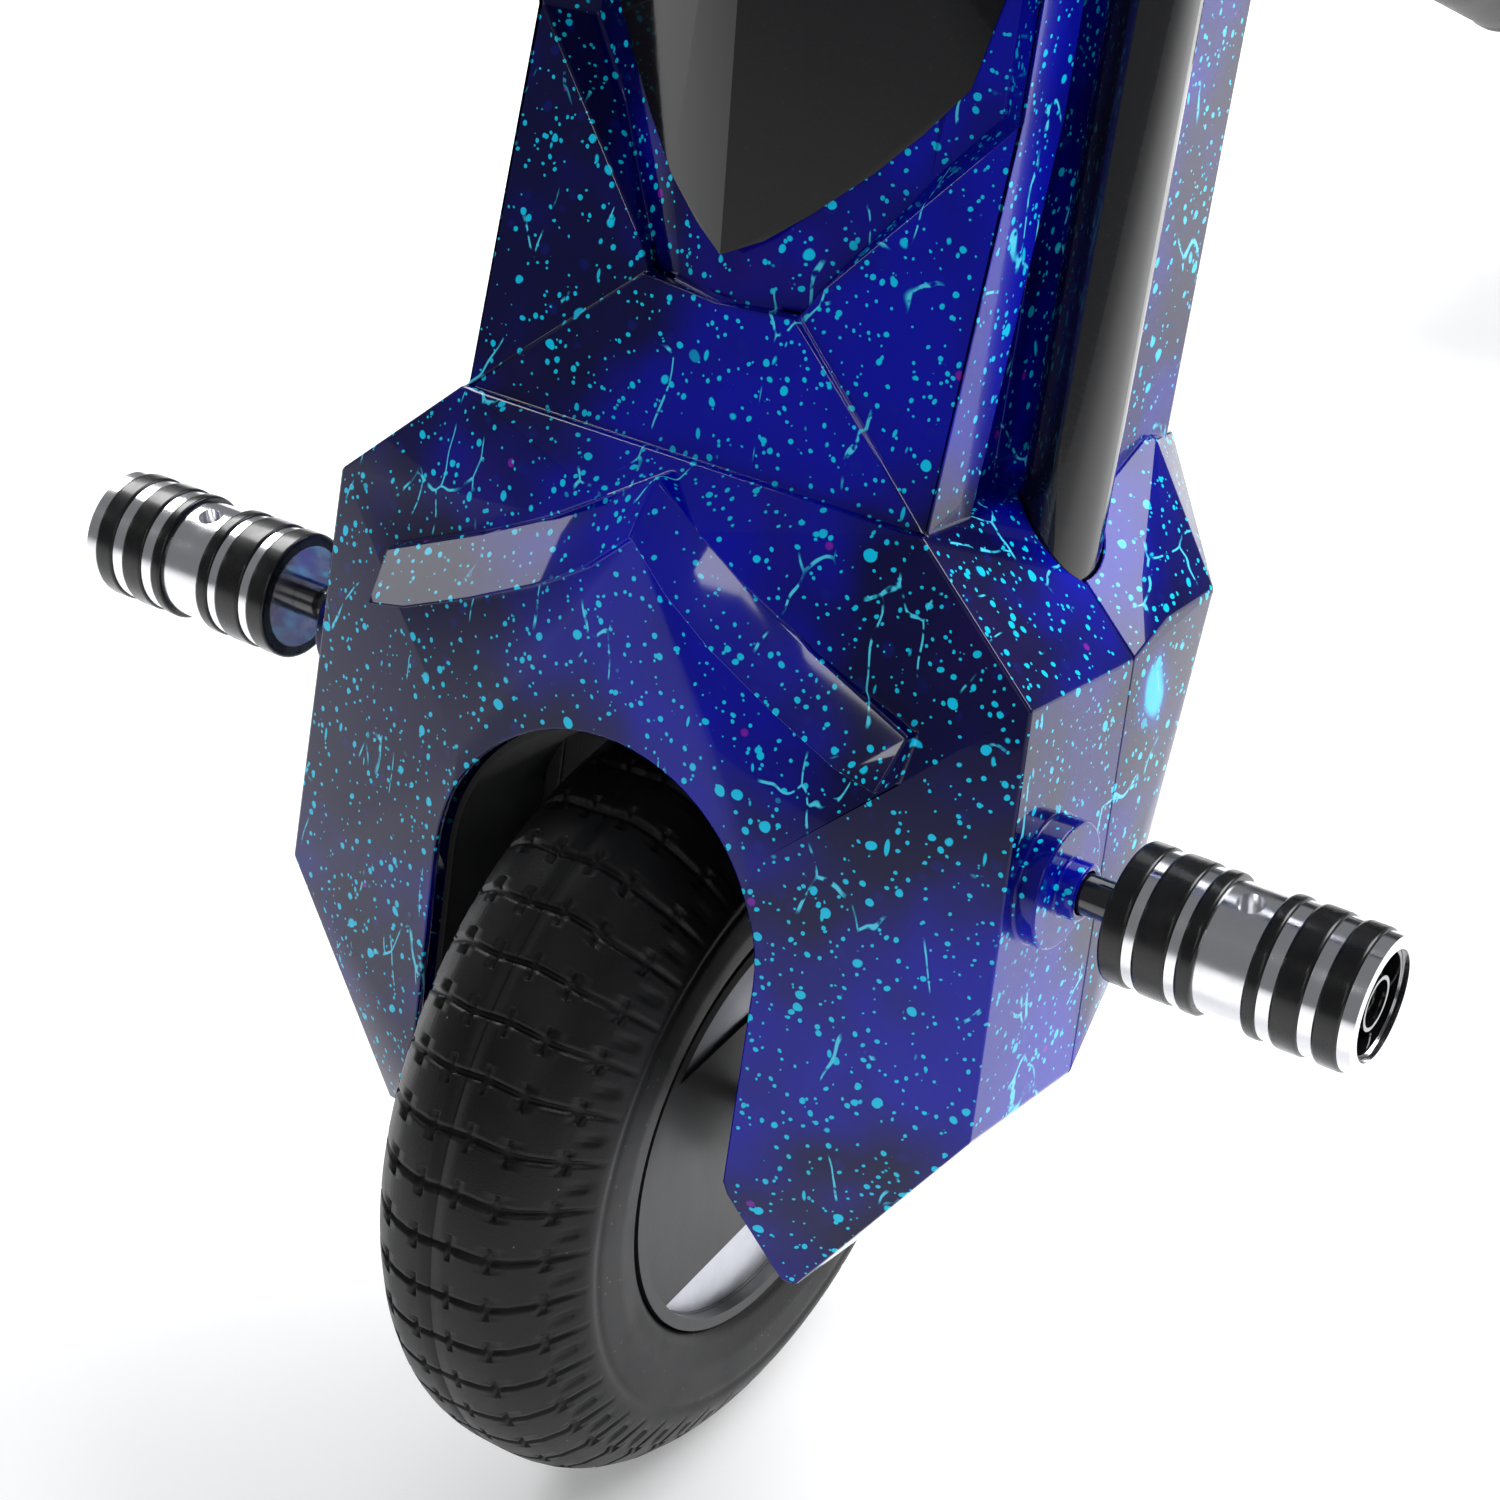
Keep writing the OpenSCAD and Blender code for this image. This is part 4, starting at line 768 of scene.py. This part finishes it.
class TRIKE_OT_cushion(Operator):
    """Seat cushion: a crowned pad with sewn channels and woven cloth"""

    bl_idname = "trike.cushion"
    bl_label = "Seat cushion"

    def execute(self, context):
        """A crowned slab of height H (1 - |a|^n)^(1/n) (1 - |b|^n)^(1/n) over the pad's half widths a and b,
        less a groove of Gaussian section at each seam; its flat underside is hollowed over the bolt heads."""
        low, high = (np.array(c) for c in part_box("seat_pad"))
        centre, half = (low + high) / 2, (high - low) / 2
        spread = np.sin(np.linspace(-1, 1, 121) * math.pi / 2)
        a, b = np.meshgrid(spread, spread, indexing="ij")
        pull = 1 - sizes().pad_pull * (1 - a ** 2) * np.abs(b) ** 6
        pull_y = 1 - sizes().pad_pull * (1 - b ** 2) * np.abs(a) ** 6
        power = 5.0
        rise = (1 - np.abs(a) ** power) ** (1 / power) * (1 - np.abs(b) ** power) ** (1 / power)
        seams = np.array([-0.52, -0.17, 0.17, 0.52])
        seam_side, seam_end = 0.80, 0.86
        seam_gap = np.min(np.abs(b[..., None] - seams), -1)
        channels = np.exp(-(seam_gap / 0.022) ** 2) * (np.abs(a) < seam_side)
        border = np.exp(-((np.abs(a) - seam_side) / 0.018) ** 2) * (np.abs(b) < seam_end)
        end = np.exp(-((np.abs(b) - seam_end) / 0.018) ** 2) * (np.abs(a) < seam_side + 0.01)
        groove = np.maximum(channels, np.maximum(border, end))
        swell = 0.72 + 0.28 * np.cos(np.clip((np.abs(a) / seam_side) ** 2, 0, 1) * math.pi / 2)
        swell = swell - 0.10 * np.exp(-(seam_gap / 0.07) ** 2)
        height = 2 * half[2] * rise * swell * (1 - 0.42 * groove)
        x = centre[0] + half[0] * a * pull
        y = centre[1] + half[1] * b * pull_y
        top = np.stack([x, y, low[2] + np.maximum(height, 0.9 * MM * rise)], -1)
        nut_r, head_r, hollow = 7.5 * MM, 7.0 * MM, 4.6 * MM
        bolts, apart = middle("seat_bolts"), half_size("seat_bolts") - np.array([nut_r, head_r, 0.0])
        near = np.hypot(np.abs(x - bolts[0]) - apart[0], np.abs(y - bolts[1]) - apart[1])
        under = np.stack([x, y, low[2] + hollow * (1 - blend(near, 9.0 * MM, 13.0 * MM))], -1)
        mesh = mesh_from("seat_pad_look", [skin(top), skin(under[:, ::-1])], weld=2e-5)
        cloth = mesh.uv_layers.new(name="cloth")
        spots = corners_of(mesh)
        index = np.empty(len(mesh.loops), np.int32)
        mesh.loops.foreach_get("vertex_index", index)
        cloth.data.foreach_set("uv", spots[index][:, :2].astype(np.float32).ravel())
        piece = make_object("seat_pad_look", mesh, "woven_fabric", "frame", "seat_pad")
        return {"FINISHED"}


class TRIKE_OT_rest(Operator):
    """Finishes of the parts that keep their mechanical shape"""

    bl_idname = "trike.finishes"
    bl_label = "Remaining finishes"

    def execute(self, context):
        edge = sizes().part_edge
        paint_nodes("powder_black", "head_tube", "backbone_tube", "rear_cross_tube")
        for node in ("caster_plates", "seat_brackets"):
            shell_copy(node, "powder_black", "frame", edge)
        for node in ("fork_bridge", "lower_crown", "upper_crown", "fork_leg_left", "fork_leg_right",
                     "peg_brackets", "bar_clamps"):
            shell_copy(node, "powder_black", "fork", edge)
        paint_nodes("turned_metal", "head_bearings", "wheel_bearings", "steering_stem", "wheel_axle")
        paint_nodes("zinc_steel", "axle_nuts", "magnet_ring", "seat_bolts")
        paint_nodes("gloss_black", "fork_tubes", "handlebar", "peg_studs", "cover_screws")
        paint_nodes("arch_black", "wheel_liner", "inner_tube")
        paint_nodes("copper", "motor_stator")
        paint_nodes("cell_wrap", "battery_pack")
        paint_nodes("hub_black", "rim_shell", "motor_controller", "charge_socket")
        paint_nodes("lens", "headlight")
        paint_nodes("screen", "dash_screen")
        for node in ("hub_cover_left", "hub_cover_right"):
            shell_copy(node, "hub_black", "front_wheel", edge)
        paint_nodes("bright_face", "hub_windows")
        shell_copy("visor", "visor_black", "fork", 1.2 * MM)
        shell_copy("dash_housing", "grained_plastic", "fork", 2.0 * MM)
        shell_copy("throttle_base", "grained_plastic", "fork", edge)
        shell_copy("brake_bracket", "powder_black", "fork", edge)
        shell_copy("brake_lever", "turned_metal", "lever", edge)
        shell_copy("power_button", "button_red", "button", edge)
        shell_copy("grip_left", "grip_rubber", "fork", edge)
        shell_copy("throttle_grip", "grip_rubber", "throttle", edge)
        shell_copy("seat_shell", "grained_plastic", "frame", 2.0 * MM)
        shell_copy("battery_case", "grained_plastic", "frame", 2.5 * MM)
        paint_nodes("grained_plastic", "battery_lid")
        shell_copy("charge_cap", "grip_rubber", "charge_cap", 0.6 * MM)
        for side in ("left", "right"):
            shell_copy("caster_fork_" + side, "zinc_steel", "caster_" + side, edge)
            shell_copy("caster_wheel_" + side, "caster_rubber", "caster_" + side + "_wheel", edge)
        return {"FINISHED"}


STEPS = (TRIKE_OT_stage, TRIKE_OT_covers, TRIKE_OT_tyre, TRIKE_OT_pegs, TRIKE_OT_cushion, TRIKE_OT_rest)


class TRIKE_PT_panel(Panel):
    """Lists the steps that build the trike's looks"""

    bl_label = "Drift trike"
    bl_idname = "TRIKE_PT_panel"
    bl_space_type = "VIEW_3D"
    bl_region_type = "UI"
    bl_category = "Trike"

    def draw(self, context):
        layout = self.layout
        for step in STEPS:
            layout.operator(step.bl_idname)
        for group in (context.scene.trike_sizes, context.scene.trike_colours):
            for name in group.bl_rna.properties.keys():
                if name not in ("rna_type", "name"):
                    layout.prop(group, name)


CLASSES = (TrikeSizes, TrikeColours, *STEPS, TRIKE_PT_panel)


def register():
    for cls in CLASSES:
        bpy.utils.register_class(cls)
    bpy.types.Scene.trike_sizes = PointerProperty(type=TrikeSizes)
    bpy.types.Scene.trike_colours = PointerProperty(type=TrikeColours)


def unregister():
    del bpy.types.Scene.trike_colours
    del bpy.types.Scene.trike_sizes
    for cls in reversed(CLASSES):
        bpy.utils.unregister_class(cls)


def main():
    register()
    for step in STEPS:
        group, name = step.bl_idname.split(".")
        getattr(getattr(bpy.ops, group), name)()


if __name__ == "__main__":
    main()
